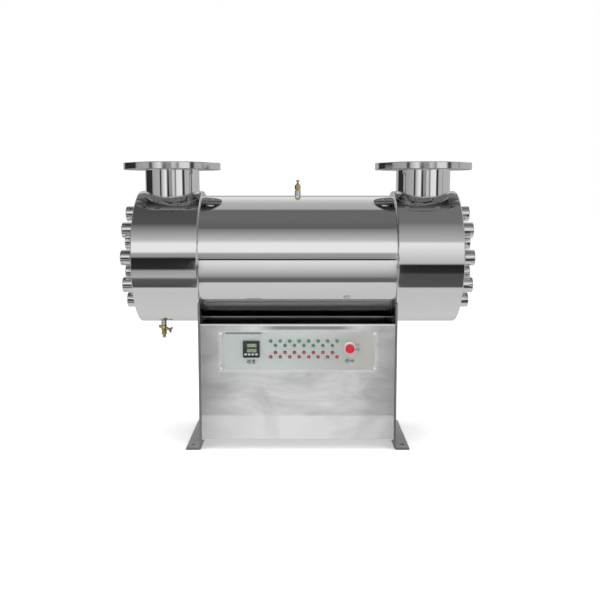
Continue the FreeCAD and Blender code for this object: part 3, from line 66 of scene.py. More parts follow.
# ---- Outlines and meshes ---------------------------------------------------
def rounded(points, steps=4):
    """Turns a closed outline in mm into points in metres. A third number is that corner's radius."""
    out = []
    count = len(points)
    for i, point in enumerate(points):
        corner = Vector(point[:2])
        radius = point[2] if len(point) > 2 else 0.0
        back = Vector(points[i - 1][:2]) - corner
        ahead = Vector(points[(i + 1) % count][:2]) - corner
        if radius <= 0 or back.length < 1e-6 or ahead.length < 1e-6:
            out.append(corner)
            continue
        half = back.angle(ahead) / 2
        reach = min(radius / math.tan(half), back.length * 0.49, ahead.length * 0.49)
        radius = reach * math.tan(half)
        middle = corner + (back.normalized() + ahead.normalized()).normalized() * (radius / math.sin(half))
        start = corner + back.normalized() * reach - middle
        end = corner + ahead.normalized() * reach - middle
        sweep = start.angle_signed(end) if start.length and end.length else 0.0
        for k in range(steps + 1):
            out.append(middle + Matrix.Rotation(-sweep * k / steps, 2) @ start)
    return [p * MM for p in out]


def new_object(name, mesh):
    piece = bpy.data.objects.new(name, mesh)
    scene.collection.objects.link(piece)
    return piece


def from_bmesh(name, bm):
    mesh = bpy.data.meshes.new(name)
    bm.to_mesh(mesh)
    bm.free()
    return new_object(name, mesh)


def lathe(name, outline, segments, at, closed):
    """Turns an (along, radius) outline in metres about Z. Its UV map holds the turn and the way along."""
    at = Vector(at)
    bm = bmesh.new()
    rings = []
    for along, radius in outline:
        if radius < 1e-7:
            rings.append([bm.verts.new(at + Vector((0, 0, along)))])
            continue
        angles = [math.tau * i / segments for i in range(segments)]
        rings.append([bm.verts.new(at + Vector((radius * math.cos(angle), radius * math.sin(angle), along)))
                      for angle in angles])
    ways = [0.0]
    for before, after in zip(outline, outline[1:] + outline[:1]):
        ways.append(ways[-1] + (Vector(after) - Vector(before)).length)
    layer = bm.loops.layers.uv.new("turning")
    spans = len(rings) if closed else len(rings) - 1
    for k in range(spans):
        low, high = rings[k], rings[(k + 1) % len(rings)]
        if len(low) == 1 and len(high) == 1:
            continue
        for i in range(segments):
            j = (i + 1) % segments
            corners = [(low[i % len(low)], i, k), (low[j % len(low)], i + 1, k),
                       (high[j % len(high)], i + 1, k + 1), (high[i % len(high)], i, k + 1)]
            if len(low) == 1:
                corners.pop(1)
            if len(high) == 1:
                corners.pop(2)
            face = bm.faces.new([c[0] for c in corners])
            for loop, (_, turn, way) in zip(face.loops, corners):
                loop[layer].uv = (turn / segments, ways[way])
    bmesh.ops.recalc_face_normals(bm, faces=bm.faces)
    return from_bmesh(name, bm)


def turned(name, outline, segments=48, at=(0, 0, 0), steps=4, closed=True):
    """A turned piece, standing along +Z, from an (along, radius) outline in mm."""
    return lathe(name, rounded(outline, steps), segments, at, closed)


def threaded(count, pitch, *ridge):
    """One ridge of an outline, repeated along it."""
    return [(along + pitch * k, radius) for k in range(count) for along, radius in ridge]


def fluted(piece, foot, low, high, beyond, depth, flutes):
    """Presses flutes into a turned piece, between two heights in mm over its foot and beyond a radius."""
    for vertex in piece.data.vertices:
        rise = (vertex.co.z - foot) / MM
        if low < rise < high and math.hypot(vertex.co.x, vertex.co.y) / MM > beyond:
            turn = math.atan2(vertex.co.y, vertex.co.x)
            factor = 1 - depth * (0.5 + 0.5 * math.cos(turn * flutes))
            vertex.co.x *= factor
            vertex.co.y *= factor


def middle(node):
    """The middle of a node's box."""
    low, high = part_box(node)
    return [(l + h) / 2 for l, h in zip(low, high)]


def slab(name, outline, low, high):
    """A plate in the XY plane from height low to high, with an outline of points in metres."""
    bm = bmesh.new()
    base = [bm.verts.new((p[0], p[1], low)) for p in outline]
    top = [bm.verts.new((p[0], p[1], high)) for p in outline]
    bm.faces.new(base[::-1])
    bm.faces.new(top)
    for i in range(len(base)):
        j = (i + 1) % len(base)
        bm.faces.new((base[i], base[j], top[j], top[i]))
    bmesh.ops.recalc_face_normals(bm, faces=bm.faces)
    return from_bmesh(name, bm)


def rectangle(width, height, radius=0.0, steps=4, centre=(0, 0)):
    """A rectangle's outline in metres, from sizes in mm."""
    x, y = width / 2, height / 2
    cx, cy = centre
    corners = [(-x, -y), (x, -y), (x, y), (-x, y)]
    return rounded([(cx + dx, cy + dy, radius) for dx, dy in corners], steps)


def hexagon(across_flats):
    """A hexagon's outline in metres with barely eased corners, from its width over the flats in mm."""
    corner_r = across_flats / 2 / math.cos(math.pi / 6)
    corners = []
    for i in range(6):
        angle = math.tau * i / 6 + math.pi / 6
        corners.append((corner_r * math.cos(angle), corner_r * math.sin(angle), 0.3))
    return rounded(corners, 2)


def evaluated(piece):
    """Puts the piece's modifiers into its mesh and takes them off."""
    bpy.context.view_layer.update()
    depsgraph = bpy.context.evaluated_depsgraph_get()
    mesh = bpy.data.meshes.new_from_object(piece.evaluated_get(depsgraph), preserve_all_data_layers=True,
                                           depsgraph=depsgraph)
    piece.modifiers.clear()
    old, piece.data = piece.data, mesh
    bpy.data.meshes.remove(old)
    return piece


def discard(pieces):
    for piece in pieces:
        mesh = piece.data
        bpy.data.objects.remove(piece)
        bpy.data.meshes.remove(mesh)


def carve(piece, cutters, operation="DIFFERENCE"):
    for cutter in cutters:
        cut = piece.modifiers.new("cut", "BOOLEAN")
        cut.operation = operation
        cut.solver = "EXACT"
        cut.object = cutter
    evaluated(piece)
    discard(cutters)
    return piece


def soften(piece, width, segments=2, angle=30.0):
    """Rounds every edge sharper than an angle, to a radius in mm."""
    bevel = piece.modifiers.new("edges", "BEVEL")
    bevel.width = width * MM
    bevel.segments = segments
    bevel.limit_method = "ANGLE"
    bevel.angle_limit = math.radians(angle)
    bevel.harden_normals = False
    return evaluated(piece)


def moved(piece, turn=(0, 0, 0), at=(0, 0, 0)):
    """Turns a mesh by angles in degrees about X, then Y, then Z, and shifts it."""
    x, y, z = (math.radians(a) for a in turn)
    matrix = Matrix.Rotation(z, 4, "Z") @ Matrix.Rotation(y, 4, "Y") @ Matrix.Rotation(x, 4, "X")
    piece.data.transform(Matrix.Translation(Vector(at)) @ matrix)
    return piece


def joined(name, parts):
    """One object of several, in order."""
    bm = bmesh.new()
    for part in parts:
        bm.from_mesh(part.data)
    piece = from_bmesh(name, bm)
    for material in parts[0].data.materials:
        piece.data.materials.append(material)
    discard(parts)
    return piece


def shaded(piece, material, angle=35.0):
    """Smooth shading that keeps flats flat and corners crisp. With no angle, every face is flat."""
    mesh = piece.data
    mesh.materials.clear()
    mesh.materials.append(material)
    mesh.polygons.foreach_set("material_index", [0] * len(mesh.polygons))
    if not angle:
        mesh.shade_flat()
        return piece
    mesh.shade_smooth()
    mesh.set_sharp_from_angle(angle=math.radians(angle))
    weight = piece.modifiers.new("flats", "WEIGHTED_NORMAL")
    weight.keep_sharp = True
    weight.mode = "FACE_AREA_WITH_ANGLE"
    return evaluated(piece)


def fitted(piece, slot, body=CHASSIS, instead_of=(), angle=35.0, finish=None):
    """Gives a piece its finish, the slot's own unless another is named, and its place in the frame."""
    shaded(piece, finishes[finish or slot], angle)
    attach(piece, body)
    if instead_of:
        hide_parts(*instead_of)


def tube(name, points, radius, ripple=0.0, sides=10):
    """A closed bead round a loop of points, with a ripple of weld along it."""
    count = len(points)
    bm = bmesh.new()
    rings = []
    for i, point in enumerate(points):
        ahead = (Vector(points[(i + 1) % count]) - Vector(points[i - 1])).normalized()
        side = ahead.cross(Vector((0, 0, 1)))
        side = side.normalized() if side.length > 0.1 else ahead.cross(Vector((0, 1, 0))).normalized()
        up = side.cross(ahead)
        r = radius * (1 + ripple * (0.5 + 0.5 * math.sin(math.pi * i)) - ripple * (i % 3) / 3)
        rings.append([bm.verts.new(Vector(point) + (side * math.cos(math.tau * k / sides)
                                                    + up * math.sin(math.tau * k / sides)) * r)
                      for k in range(sides)])
    for i in range(count):
        low, high = rings[i], rings[(i + 1) % count]
        for k in range(sides):
            j = (k + 1) % sides
            bm.faces.new((low[k], low[j], high[j], high[k]))
    bmesh.ops.recalc_face_normals(bm, faces=bm.faces)
    return from_bmesh(name, bm)


# ---- Geometry nodes: copies in a ring and in rows --------------------------
def copying_tree(name, inputs):
    """Starts a tree. Returns its named inputs, a way to add nodes, and the step that ends it."""
    tree = bpy.data.node_groups.new(name, "GeometryNodeTree")
    tree.interface.new_socket("Geometry", in_out="INPUT", socket_type="NodeSocketGeometry")
    tree.interface.new_socket("Geometry", in_out="OUTPUT", socket_type="NodeSocketGeometry")
    for label, kind in inputs:
        tree.interface.new_socket(label, in_out="INPUT", socket_type="NodeSocket" + kind)
    given = tree.nodes.new("NodeGroupInput").outputs
    end = tree.nodes.new("NodeGroupOutput")

    def add(kind, wired, **settings):
        node = tree.nodes.new(kind)
        for key, value in settings.items():
            setattr(node, key, value)
        for key, value in wired.items():
            socket = node.inputs[key]
            if isinstance(value, bpy.types.NodeSocket):
                tree.links.new(value, socket)
            else:
                socket.default_value = value
        return node.outputs[0]

    def close(points, turn):
        """Copies of the shape on the points, turned into their plane, made real and painted."""
        shape = tree.nodes.new("GeometryNodeObjectInfo")
        tree.links.new(given["Shape"], shape.inputs["Object"])
        copies = add("GeometryNodeInstanceOnPoints", {
            "Points": points, "Instance": shape.outputs["Geometry"],
            "Rotation": add("FunctionNodeEulerToRotation", {0: add("ShaderNodeCombineXYZ", {"Z": turn})})})
        placed = add("GeometryNodeTransform", {
            "Geometry": copies, "Translation": given["Centre"],
            "Rotation": add("FunctionNodeEulerToRotation", {0: given["Plane"]})})
        real = add("GeometryNodeRealizeInstances", {"Geometry": placed})
        painted = add("GeometryNodeSetMaterial", {"Geometry": real, "Material": given["Material"]})
        tree.links.new(painted, end.inputs["Geometry"])
        return tree

    return given, add, close


SHARED_INPUTS = [("Shape", "Object"), ("Material", "Material"), ("Centre", "Vector"), ("Plane", "Vector"),
                 ("Loose turn", "Float"), ("Seed", "Int")]


def ring_tree():
    """Copies spaced evenly round a circle. Follow turns each to face outwards; Loose turn varies them."""
    given, add, close = copying_tree("copies_in_a_ring", SHARED_INPUTS + [
        ("Count", "Int"), ("Radius", "Float"), ("Start", "Float"), ("Follow", "Float")])
    index = add("GeometryNodeInputIndex", {})
    step = add("ShaderNodeMath", {0: math.tau, 1: given["Count"]}, operation="DIVIDE")
    around = add("ShaderNodeMath", {0: index, 1: step, 2: given["Start"]}, operation="MULTIPLY_ADD")
    spin = add("FunctionNodeRandomValue", {"ID": index, "Seed": given["Seed"]})
    turn = add("ShaderNodeMath", {0: spin_output(spin), 1: given["Loose turn"], 2: add(
        "ShaderNodeMath", {0: around, 1: given["Follow"]}, operation="MULTIPLY")}, operation="MULTIPLY_ADD")
    circle = add("GeometryNodeMeshCircle", {"Vertices": given["Count"], "Radius": given["Radius"]})
    turned = add("GeometryNodeTransform", {"Geometry": circle, "Rotation": add(
        "FunctionNodeEulerToRotation", {0: add("ShaderNodeCombineXYZ", {"Z": given["Start"]})})})
    return close(turned, turn)


def spin_output(socket):
    """The float result of a Random Value node."""
    return next(s for s in socket.node.outputs if s.type == "VALUE" and s.enabled)


def rows_tree():
    """Copies in rows and columns. Loose turn varies how each is turned."""
    given, add, close = copying_tree("copies_in_rows", SHARED_INPUTS + [
        ("Columns", "Int"), ("Rows", "Int"), ("Column pitch", "Float"), ("Row pitch", "Float")])
    spans = []
    for count, pitch in (("Columns", "Column pitch"), ("Rows", "Row pitch")):
        gaps = add("ShaderNodeMath", {0: given[count], 1: 1.0}, operation="SUBTRACT")
        spans.append(add("ShaderNodeMath", {0: gaps, 1: given[pitch]}, operation="MULTIPLY"))
    grid = add("GeometryNodeMeshGrid", {"Size X": spans[0], "Size Y": spans[1],
               "Vertices X": given["Columns"], "Vertices Y": given["Rows"]})
    spin = add("FunctionNodeRandomValue", {"ID": add("GeometryNodeInputIndex", {}), "Seed": given["Seed"]})
    turn = add("ShaderNodeMath", {0: spin_output(spin), 1: given["Loose turn"]}, operation="MULTIPLY")
    return close(grid, turn)


RING, ROWS = ring_tree(), rows_tree()


def copies(tree, shape, finish, at, plane=(0, 0, 0), loose=0.0, seed=1, **sizes):
    """Runs a copying tree and returns its result as a plain mesh. The shape stays, for another run."""
    piece = new_object("copies", bpy.data.meshes.new("copies"))
    values = {"Shape": shape, "Material": finishes[finish], "Centre": Vector(at), "Plane": Vector(plane),
              "Loose turn": loose, "Seed": seed}
    values.update({key.replace("_", " ").capitalize(): value for key, value in sizes.items()})
    modifier = piece.modifiers.new("copies", "NODES")
    modifier.node_group = tree
    for item in tree.interface.items_tree:
        if item.in_out == "INPUT" and item.name in values:
            modifier[item.identifier] = values[item.name]
    return evaluated(piece)


FACING_FRONT = (math.pi / 2, 0, 0)
FACING_REAR = (-math.pi / 2, math.pi, 0)
FACING_RIGHT = (0, math.pi / 2, 0)
FACING_LEFT = (0, -math.pi / 2, 0)


# ---- Effects shared by the finishes ----------------------------------------
def rgba(value):
    return tuple(value) + (1.0,) if hasattr(value, "__len__") else (value, value, value, 1.0)


def darker(colour, share):
    return [c * (1 - share) for c in colour]


class Tree:
    """A shader tree that takes its nodes in one line each."""

    def __init__(self, tree):
        self.tree = tree

    def add(self, kind, wired=None, **settings):
        node = self.tree.nodes.new("ShaderNode" + kind)
        for key, value in settings.items():
            setattr(node, key, value)
        for key, value in (wired or {}).items():
            self.put(value, node.inputs[key])
        return node

    def put(self, value, socket):
        if isinstance(value, bpy.types.NodeSocket):
            self.tree.links.new(value, socket)
        elif value is not None:
            socket.default_value = value

    def math(self, operation, a, b=0.0, c=0.0, clamp=False):
        return self.add("Math", {0: a, 1: b, 2: c}, operation=operation, use_clamp=clamp).outputs[0]

    def rise(self, value, low, high, start=0.0, end=1.0, **settings):
        """Goes from start to end while the value goes from low to high."""
        return self.add("MapRange", {"Value": value, "From Min": low, "From Max": high,
                                     "To Min": start, "To Max": end}, **settings).outputs[0]

    def noise(self, vector, scale, detail=2.0, **more):
        return self.add("TexNoise", {"Vector": vector, "Scale": scale, "Detail": detail, **more}).outputs[0]

    def stretched(self, vector, by):
        return self.add("VectorMath", {0: vector, 1: by}, operation="MULTIPLY").outputs[0]

    def split(self, vector):
        return self.add("SeparateXYZ", {0: vector}).outputs

    def grey(self, tone):
        return self.add("CombineColor", {0: tone, 1: tone, 2: tone}).outputs[0]

    def ramp(self, fac, stops):
        """A smooth ramp from (place, value) stops, where a value is a grey or a colour."""
        node = self.add("ValToRGB", {"Fac": fac})
        elements = node.color_ramp.elements
        while len(elements) < len(stops):
            elements.new(0.5)
        for element, (place, value) in zip(elements, stops):
            element.position = place
            element.color = rgba(value)
        return node.outputs["Color"]

    def mix(self, fac, a, b, blend="MIX"):
        node = self.add("Mix", data_type="RGBA", blend_type=blend)
        self.put(fac, node.inputs["Factor"])
        for value, socket in ((a, node.inputs[6]), (b, node.inputs[7])):
            self.put(value if isinstance(value, bpy.types.NodeSocket) else rgba(value), socket)
        return node.outputs[2]

    def give(self, **results):
        """Ends a node group with its named results. A shade is a colour and the others are values."""
        for label in results:
            kind = "NodeSocketColor" if label == "Shade" else "NodeSocketFloat"
            self.tree.interface.new_socket(label, in_out="OUTPUT", socket_type=kind)
        end = self.tree.nodes.new("NodeGroupOutput")
        for label, value in results.items():
            self.put(value, end.inputs[label])
        return self.tree


def effect(name, **inputs):
    """Starts a shader node group on a vector, with named inputs and their defaults."""
    tree = bpy.data.node_groups.new(name, "ShaderNodeTree")
    for label, value in {"Vector": None, **inputs}.items():
        kind = "NodeSocketFloat" if isinstance(value, float) else "NodeSocketVector"
        socket = tree.interface.new_socket(label.replace("_", " "), in_out="INPUT", socket_type=kind)
        if value is not None:
            socket.default_value = value
    return Tree(tree), tree.nodes.new("NodeGroupInput").outputs


def grain_effect():
    """Fine drawn lines along one direction, with wandering strength: a tone, a roughness and a height."""
    t, given = effect("drawn_grain", Stretch=(20.0, 900.0, 900.0), Tone=0.05, Base_roughness=0.2,
                      Spread=0.1)
    lines = t.noise(t.stretched(given["Vector"], given["Stretch"]), 1.0, 3.0, Roughness=0.6)
    patches = t.noise(given["Vector"], 9.0)
    swing = t.math("SUBTRACT", lines, 0.5)
    tone = t.math("MULTIPLY_ADD", swing, given["Tone"], 1.0)
    drift = t.math("ADD", swing, t.math("SUBTRACT", patches, 0.5))
    rough = t.math("MULTIPLY_ADD", drift, given["Spread"], given["Base roughness"], clamp=True)
    return t.give(Shade=t.grey(tone), Roughness=rough, Height=lines)


def wander_effect():
    """The slow unevenness of rolled or buffed sheet: a height in waves and a cloudy mask."""
    t, given = effect("rolled_waves", Stretch=(1.0, 1.0, 1.0), Scale=4.0)
    drawn = t.stretched(given["Vector"], given["Stretch"])
    waves = t.noise(drawn, given["Scale"], 1.5, Distortion=0.4)
    clouds = t.noise(drawn, given["Scale"], 5.0, Roughness=0.62, Distortion=0.8)
    return t.give(Height=waves, Cloud=t.rise(clouds, 0.35, 0.68))


def marks_effect():
    """Hairline handling marks and wiped smears: masks that roughen and dull a bright finish."""
    t, given = effect("handling_marks", Scale=30.0)
    place, scale = given["Vector"], given["Scale"]
    bent = t.add("TexNoise", {"Vector": place, "Scale": t.math("MULTIPLY", scale, 0.3)}).outputs[1]
    shifted = t.add("VectorMath", {0: place, 1: bent, 2: (0.05, 0.05, 0.05)}, operation="MULTIPLY_ADD")
    cells = t.add("TexVoronoi", {"Vector": shifted.outputs[0], "Scale": scale}, feature="DISTANCE_TO_EDGE")
    wiped = t.noise(place, t.math("MULTIPLY", scale, 0.25), 4.0, Roughness=0.6, Distortion=1.2)
    return t.give(Scratches=t.rise(cells.outputs[0], 0.0, 0.012, 1.0, 0.0), Smears=t.rise(wiped, 0.5, 0.72))


def wear_effect():
    """Where edges stand proud and get rubbed, broken up by noise."""
    t, given = effect("edge_wear", Radius=0.001, Scale=120.0, Amount=1.0)
    eased = t.add("Bevel", {"Radius": given["Radius"]}, samples=4).outputs[0]
    plain = t.add("NewGeometry").outputs["Normal"]
    same = t.add("VectorMath", {0: eased, 1: plain}, operation="DOT_PRODUCT").outputs["Value"]
    edge = t.math("MULTIPLY", t.math("SUBTRACT", 1.0, same), 6.0)
    broken = t.math("MULTIPLY", t.noise(given["Vector"], given["Scale"], 3.0), given["Amount"])
    return t.give(Mask=t.math("MULTIPLY", edge, broken, clamp=True))


def mould_effect():
    """The fine spark texture of moulded plastic, rubber or paint, with a slight drift of tone."""
    t, given = effect("moulded_skin", Scale=1500.0, Base_roughness=0.4, Spread=0.12, Tone=0.08)
    swing = t.math("SUBTRACT", t.noise(given["Vector"], 25.0, 3.0), 0.5)
    tone = t.math("MULTIPLY_ADD", swing, given["Tone"], 1.0)
    rough = t.math("MULTIPLY_ADD", swing, given["Spread"], given["Base roughness"], clamp=True)
    return t.give(Shade=t.grey(tone), Roughness=rough, Height=t.noise(given["Vector"], given["Scale"]))


GRAIN, WAVES = grain_effect(), wander_effect()
MARKS, WEAR, MOULD = marks_effect(), wear_effect(), mould_effect()


class Finish(Tree):
    """A material with its Principled shader. Plain values go straight on the shader's own sockets."""

    def __init__(self, name, **plain):
        self.material = bpy.data.materials.new("finish_" + name)
        self.material.use_nodes = True
        super().__init__(self.material.node_tree)
        self.shader = self.tree.nodes["Principled BSDF"]
        for key, value in plain.items():
            socket = self.shader.inputs[key.replace("_", " ")]
            socket.default_value = rgba(value) if socket.type == "RGBA" else value
        self.place = self.add("TexCoord").outputs["Object"]

    def turning(self):
        """The map that a turned piece carries: the turn about its axis, and the way along its outline."""
        return self.add("UVMap", uv_map="turning").outputs[0]

    def using(self, group, **wired):
        node = self.add("Group", node_tree=group)
        for key, value in {"Vector": self.place, **wired}.items():
            self.put(value, node.inputs[key.replace("_", " ")])
        return node.outputs

    def shade(self, colour, by, **others):
        """The base colour, multiplied by a shade, and the shader's other changing inputs."""
        self.put(self.mix(1.0, colour, by, "MULTIPLY"), self.shader.inputs["Base Color"])
        self.wire(**others)

    def wire(self, **values):
        for key, value in values.items():
            self.put(value, self.shader.inputs[key.replace("_", " ")])

    def bump(self, height, strength, distance, under=None):
        node = self.add("Bump", {"Height": height, "Strength": strength, "Distance": distance,
                                 "Normal": under})
        self.wire(Normal=node.outputs[0])
        return node.outputs[0]


# ---- Finishes --------------------------------------------------------------
def polished_metal(name, colour, roughness, dull):
    """Mirror-buffed metal: slow waves in the reflections, faint smears and hairlines."""
    f = Finish(name, Metallic=1.0)
    waves = f.using(WAVES, Stretch=(0.3, 1.0, 1.0), Scale=5.0)
    rubbed = f.using(MARKS, Scale=30.0)
    rough = f.math("MULTIPLY_ADD", rubbed["Smears"], dull, roughness)
    rough = f.math("MULTIPLY_ADD", rubbed["Scratches"], dull, rough)
    f.wire(Roughness=rough, Base_Color=f.mix(waves["Cloud"], colour, darker(colour, 0.06)))
    f.bump(waves["Height"], 1.0, 0.0002)
    return f.material


def drawn_metal(name, colour, roughness=0.22, stretch=(15.0, 900.0, 900.0), tone=0.12, spread=0.12,
                depth=0.00002, wave_scale=4.0, cloud=0.06, around=False, metallic=1.0, dark_below=None):
    """Brushed, turned or drawn metal. around reads the piece's turning map, so lines run round its axis."""
    f = Finish(name, Metallic=metallic)
    height = f.split(f.place)["Z"]
    if around:
        f.place = f.turning()
    lines = f.using(GRAIN, Stretch=stretch, Tone=tone, Base_roughness=roughness, Spread=spread)
    clouds = f.using(WAVES, Scale=wave_scale)["Cloud"]
    base = f.mix(clouds, colour, darker(colour, cloud))
    # Painted shade: the bottom half-millimetre, the flange's down-facing underside, is made darker.
    if dark_below:
        skin = f.rise(height, dark_below, dark_below - 0.0005)
        base = f.mix(skin, base, (0.30, 0.30, 0.30))
    f.shade(base, lines["Shade"], Roughness=lines["Roughness"])
    f.bump(lines["Height"], 0.6, depth)
    return f.material


def worn_metal(name, colour, bright, roughness=0.22, tarnish=0.25):
    """Cast or plated metal with a dulled skin that shines where its edges are rubbed."""
    f = Finish(name, Metallic=1.0)
    rubbed = f.using(WEAR, Radius=0.0008, Amount=1.0)["Mask"]
    skin = f.using(MOULD, Scale=900.0, Base_roughness=roughness, Spread=0.2, Tone=0.15)
    clouds = f.using(WAVES, Scale=40.0)["Cloud"]
    dull = f.mix(1.0, f.mix(clouds, colour, darker(colour, tarnish)), skin["Shade"], "MULTIPLY")
    f.wire(Base_Color=f.mix(rubbed, dull, bright),
           Roughness=f.math("MULTIPLY_ADD", rubbed, -roughness * 0.5, skin["Roughness"]))
    f.bump(skin["Height"], 0.3, 0.00003)
    return f.material


def moulded(name, colour, roughness, texture=1400.0, depth=0.00003, tone=0.1, wear_to=None, coat=0.0,
            sheen=0.0):
    """Plastic, rubber or paint with its spark texture, and paler rubbed edges where it is handled."""
    f = Finish(name, Metallic=0.0, Coat_Weight=coat, Coat_Roughness=0.08, Sheen_Weight=sheen)
    skin = f.using(MOULD, Scale=texture, Base_roughness=roughness, Spread=0.15, Tone=tone)
    base = f.mix(1.0, colour, skin["Shade"], "MULTIPLY")
    if wear_to:
        base = f.mix(f.using(WEAR, Radius=0.0006, Amount=0.6)["Mask"], base, wear_to)
    f.wire(Base_Color=base, Roughness=skin["Roughness"])
    f.bump(skin["Height"], 0.5, depth)
    return f.material


def clear_plate(name, colour, body, edge):
    """Clear plastic sheet: mostly see-through face-on, fuller at a glancing angle, with wiped smears."""
    f = Finish(name, Metallic=0.0, Coat_Weight=1.0, Coat_Roughness=0.03, IOR=1.49)
    smears = f.using(MARKS, Scale=18.0)["Smears"]
    facing = f.add("LayerWeight", {"Blend": 0.35}).outputs["Facing"]
    veil = f.math("MULTIPLY_ADD", smears, 0.02, body)
    f.wire(Alpha=f.math("MULTIPLY_ADD", facing, edge, veil, clamp=True),
           Roughness=f.math("MULTIPLY_ADD", smears, 0.05, 0.03),
           Base_Color=f.mix(smears, colour, darker(colour, 0.04)))
    return f.material


def glass(name, colour, roughness, ior):
    """Quartz or lamp glass, with faint water marks in its roughness."""
    f = Finish(name, Metallic=0.0, Transmission_Weight=1.0, IOR=ior, Base_Color=colour)
    smears = f.using(MARKS, Scale=40.0)["Smears"]
    f.wire(Roughness=f.math("MULTIPLY_ADD", smears, 0.08, roughness))
    return f.material


def signal_lens(name, deep, bright):
    """A moulded lens: painted shading from deep at its rim to brighter in the middle, and a painted
    highlight at its centre.
    """
    f = Finish(name, Metallic=0.0, Coat_Weight=1.0, Coat_Roughness=0.03, IOR=1.5)
    inward = f.split(f.turning())["Y"]
    skin = f.using(MOULD, Scale=900.0, Base_roughness=0.16, Spread=0.1, Tone=0.5)
    # Painted shading: deep at the rim, brighter towards the middle.
    tint = f.mix(f.rise(inward, 0.0075, 0.0130), deep, bright)
    # Painted highlight: a pale spot at the dome's crown.
    tint = f.mix(f.rise(inward, 0.0127, 0.0131), tint, (0.85, 0.88, 0.86))
    f.shade(tint, skin["Shade"], Roughness=skin["Roughness"])
    rings = f.math("SINE", f.math("MULTIPLY", inward, 9000.0))
    f.bump(rings, 0.25, 0.00005)
    return f.material


# Heights and places on the cabinet's sheet, in metres, for its painted reflections, painted highlight and
# painted shade.
FOOT_REFLECTION_BAND = (0.099, 0.106)
DARK_REFLECTION_LOW, DARK_REFLECTION_HIGH = (0.352, 0.358), (0.3665, 0.3645)
DARK_REFLECTION_X, DARK_REFLECTION_REACH = 0.03, (0.15, 0.09)
TOP_EDGE_HIGHLIGHT = (0.3665, 0.3680)
LID_SHADE_Z, LID_SHADE_Y = (0.3705, 0.3712), (-0.149, -0.147)
SHADED_ENDS_X = (0.17, 0.28)


def cabinet_finish(name):
    """Mirror-polished sheet under a soft haze: cloudy gradients, drawn lines, handling marks, painted
    reflections at the foot and under the top edge, a painted highlight along the top edge, and painted shade
    at the ends and on the lid.
    """
    f = Finish(name, Metallic=1.0)
    waves = f.using(WAVES, Stretch=(0.8, 1.0, 2.2), Scale=4.5)
    lines = f.using(GRAIN, Stretch=(12.0, 700.0, 700.0), Tone=0.05, Base_roughness=0.16, Spread=0.08)
    rubbed = f.using(MARKS, Scale=16.0)
    x, y, z = f.split(f.place)
    clouds = f.ramp(waves["Cloud"], [(0.0, (0.93, 0.93, 0.93)), (0.45, (0.79, 0.79, 0.795)),
                                     (1.0, (0.60, 0.60, 0.605))])
    # Painted shade: the sheet is made darker towards its ends and round onto its sides.
    aside = f.rise(f.math("ABSOLUTE", x), *SHADED_ENDS_X)
    clouds = f.mix(f.math("MULTIPLY", aside, 0.6), clouds, (0.55, 0.55, 0.555))
    # Painted reflection: the sheet is painted white along its foot.
    base = f.mix(f.rise(z, *FOOT_REFLECTION_BAND), (1.0, 1.0, 1.0), clouds)
    # Painted reflection: a dark blotch in a band under the top edge, about the middle.
    from_middle = f.math("ABSOLUTE", f.math("SUBTRACT", x, DARK_REFLECTION_X))
    upright = f.math("MULTIPLY", f.rise(z, *DARK_REFLECTION_LOW), f.rise(z, *DARK_REFLECTION_HIGH))
    dark_reflection = f.math("MULTIPLY", f.rise(from_middle, *DARK_REFLECTION_REACH), upright)
    base = f.mix(dark_reflection, base, (0.34, 0.34, 0.345))
    # Painted highlight: white along the top edge.
    base = f.mix(f.rise(z, *TOP_EDGE_HIGHLIGHT), base, (1.0, 1.0, 1.0))
    # Painted shade: the cabinet's top is made darker.
    lid_shade = f.math("MULTIPLY", f.rise(z, *LID_SHADE_Z), f.rise(y, *LID_SHADE_Y))
    base = f.mix(lid_shade, base, (0.42, 0.42, 0.42))
    base = f.mix(f.math("MULTIPLY", rubbed["Scratches"], 0.08), base, (0.88, 0.88, 0.88))
    f.shade(base, lines["Shade"],
            Roughness=f.math("MULTIPLY_ADD", rubbed["Smears"], 0.10, lines["Roughness"]))
    under = f.bump(lines["Height"], 0.3, 0.00001)
    f.bump(waves["Height"], 1.0, 0.0010, under)
    return f.material


SHEET_FOLD_X = -0.215


def film_finish(name):
    """The silvered legend sheet with painted reflections: pale and cool at one end, warm at the other, with
    cloudy cyan patches, and a fine upright line.
    """
    f = Finish(name, Metallic=0.55, Coat_Weight=0.3, Coat_Roughness=0.1)
    low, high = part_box("panel_film")
    x = f.split(f.place)["X"]
    waves = f.using(WAVES, Stretch=(0.5, 1.0, 1.2), Scale=5.0)
    skin = f.using(MOULD, Scale=2400.0, Base_roughness=0.24, Spread=0.06, Tone=0.05)
    # Painted reflection: the sheet's tint runs from cool green at one end to warm brown at the other.
    tint = f.ramp(f.rise(x, low.x, high.x), [(0.0, (0.52, 0.56, 0.54)), (0.35, (0.54, 0.60, 0.58)),
                                             (0.68, (0.47, 0.48, 0.45)), (1.0, (0.41, 0.36, 0.32))])
    # Painted reflection: cloudy cyan patches.
    tint = f.mix(f.math("MULTIPLY", waves["Cloud"], 0.45), tint, (0.70, 0.78, 0.77))
    from_fold = f.math("ABSOLUTE", f.math("SUBTRACT", x, SHEET_FOLD_X))
    tint = f.mix(f.rise(from_fold, 0.0004, 0.0008, 0.8, 0.0), tint, (0.16, 0.16, 0.15))
    f.shade(tint, skin["Shade"], Roughness=skin["Roughness"])
    f.bump(skin["Height"], 0.3, 0.00001)
    return f.material


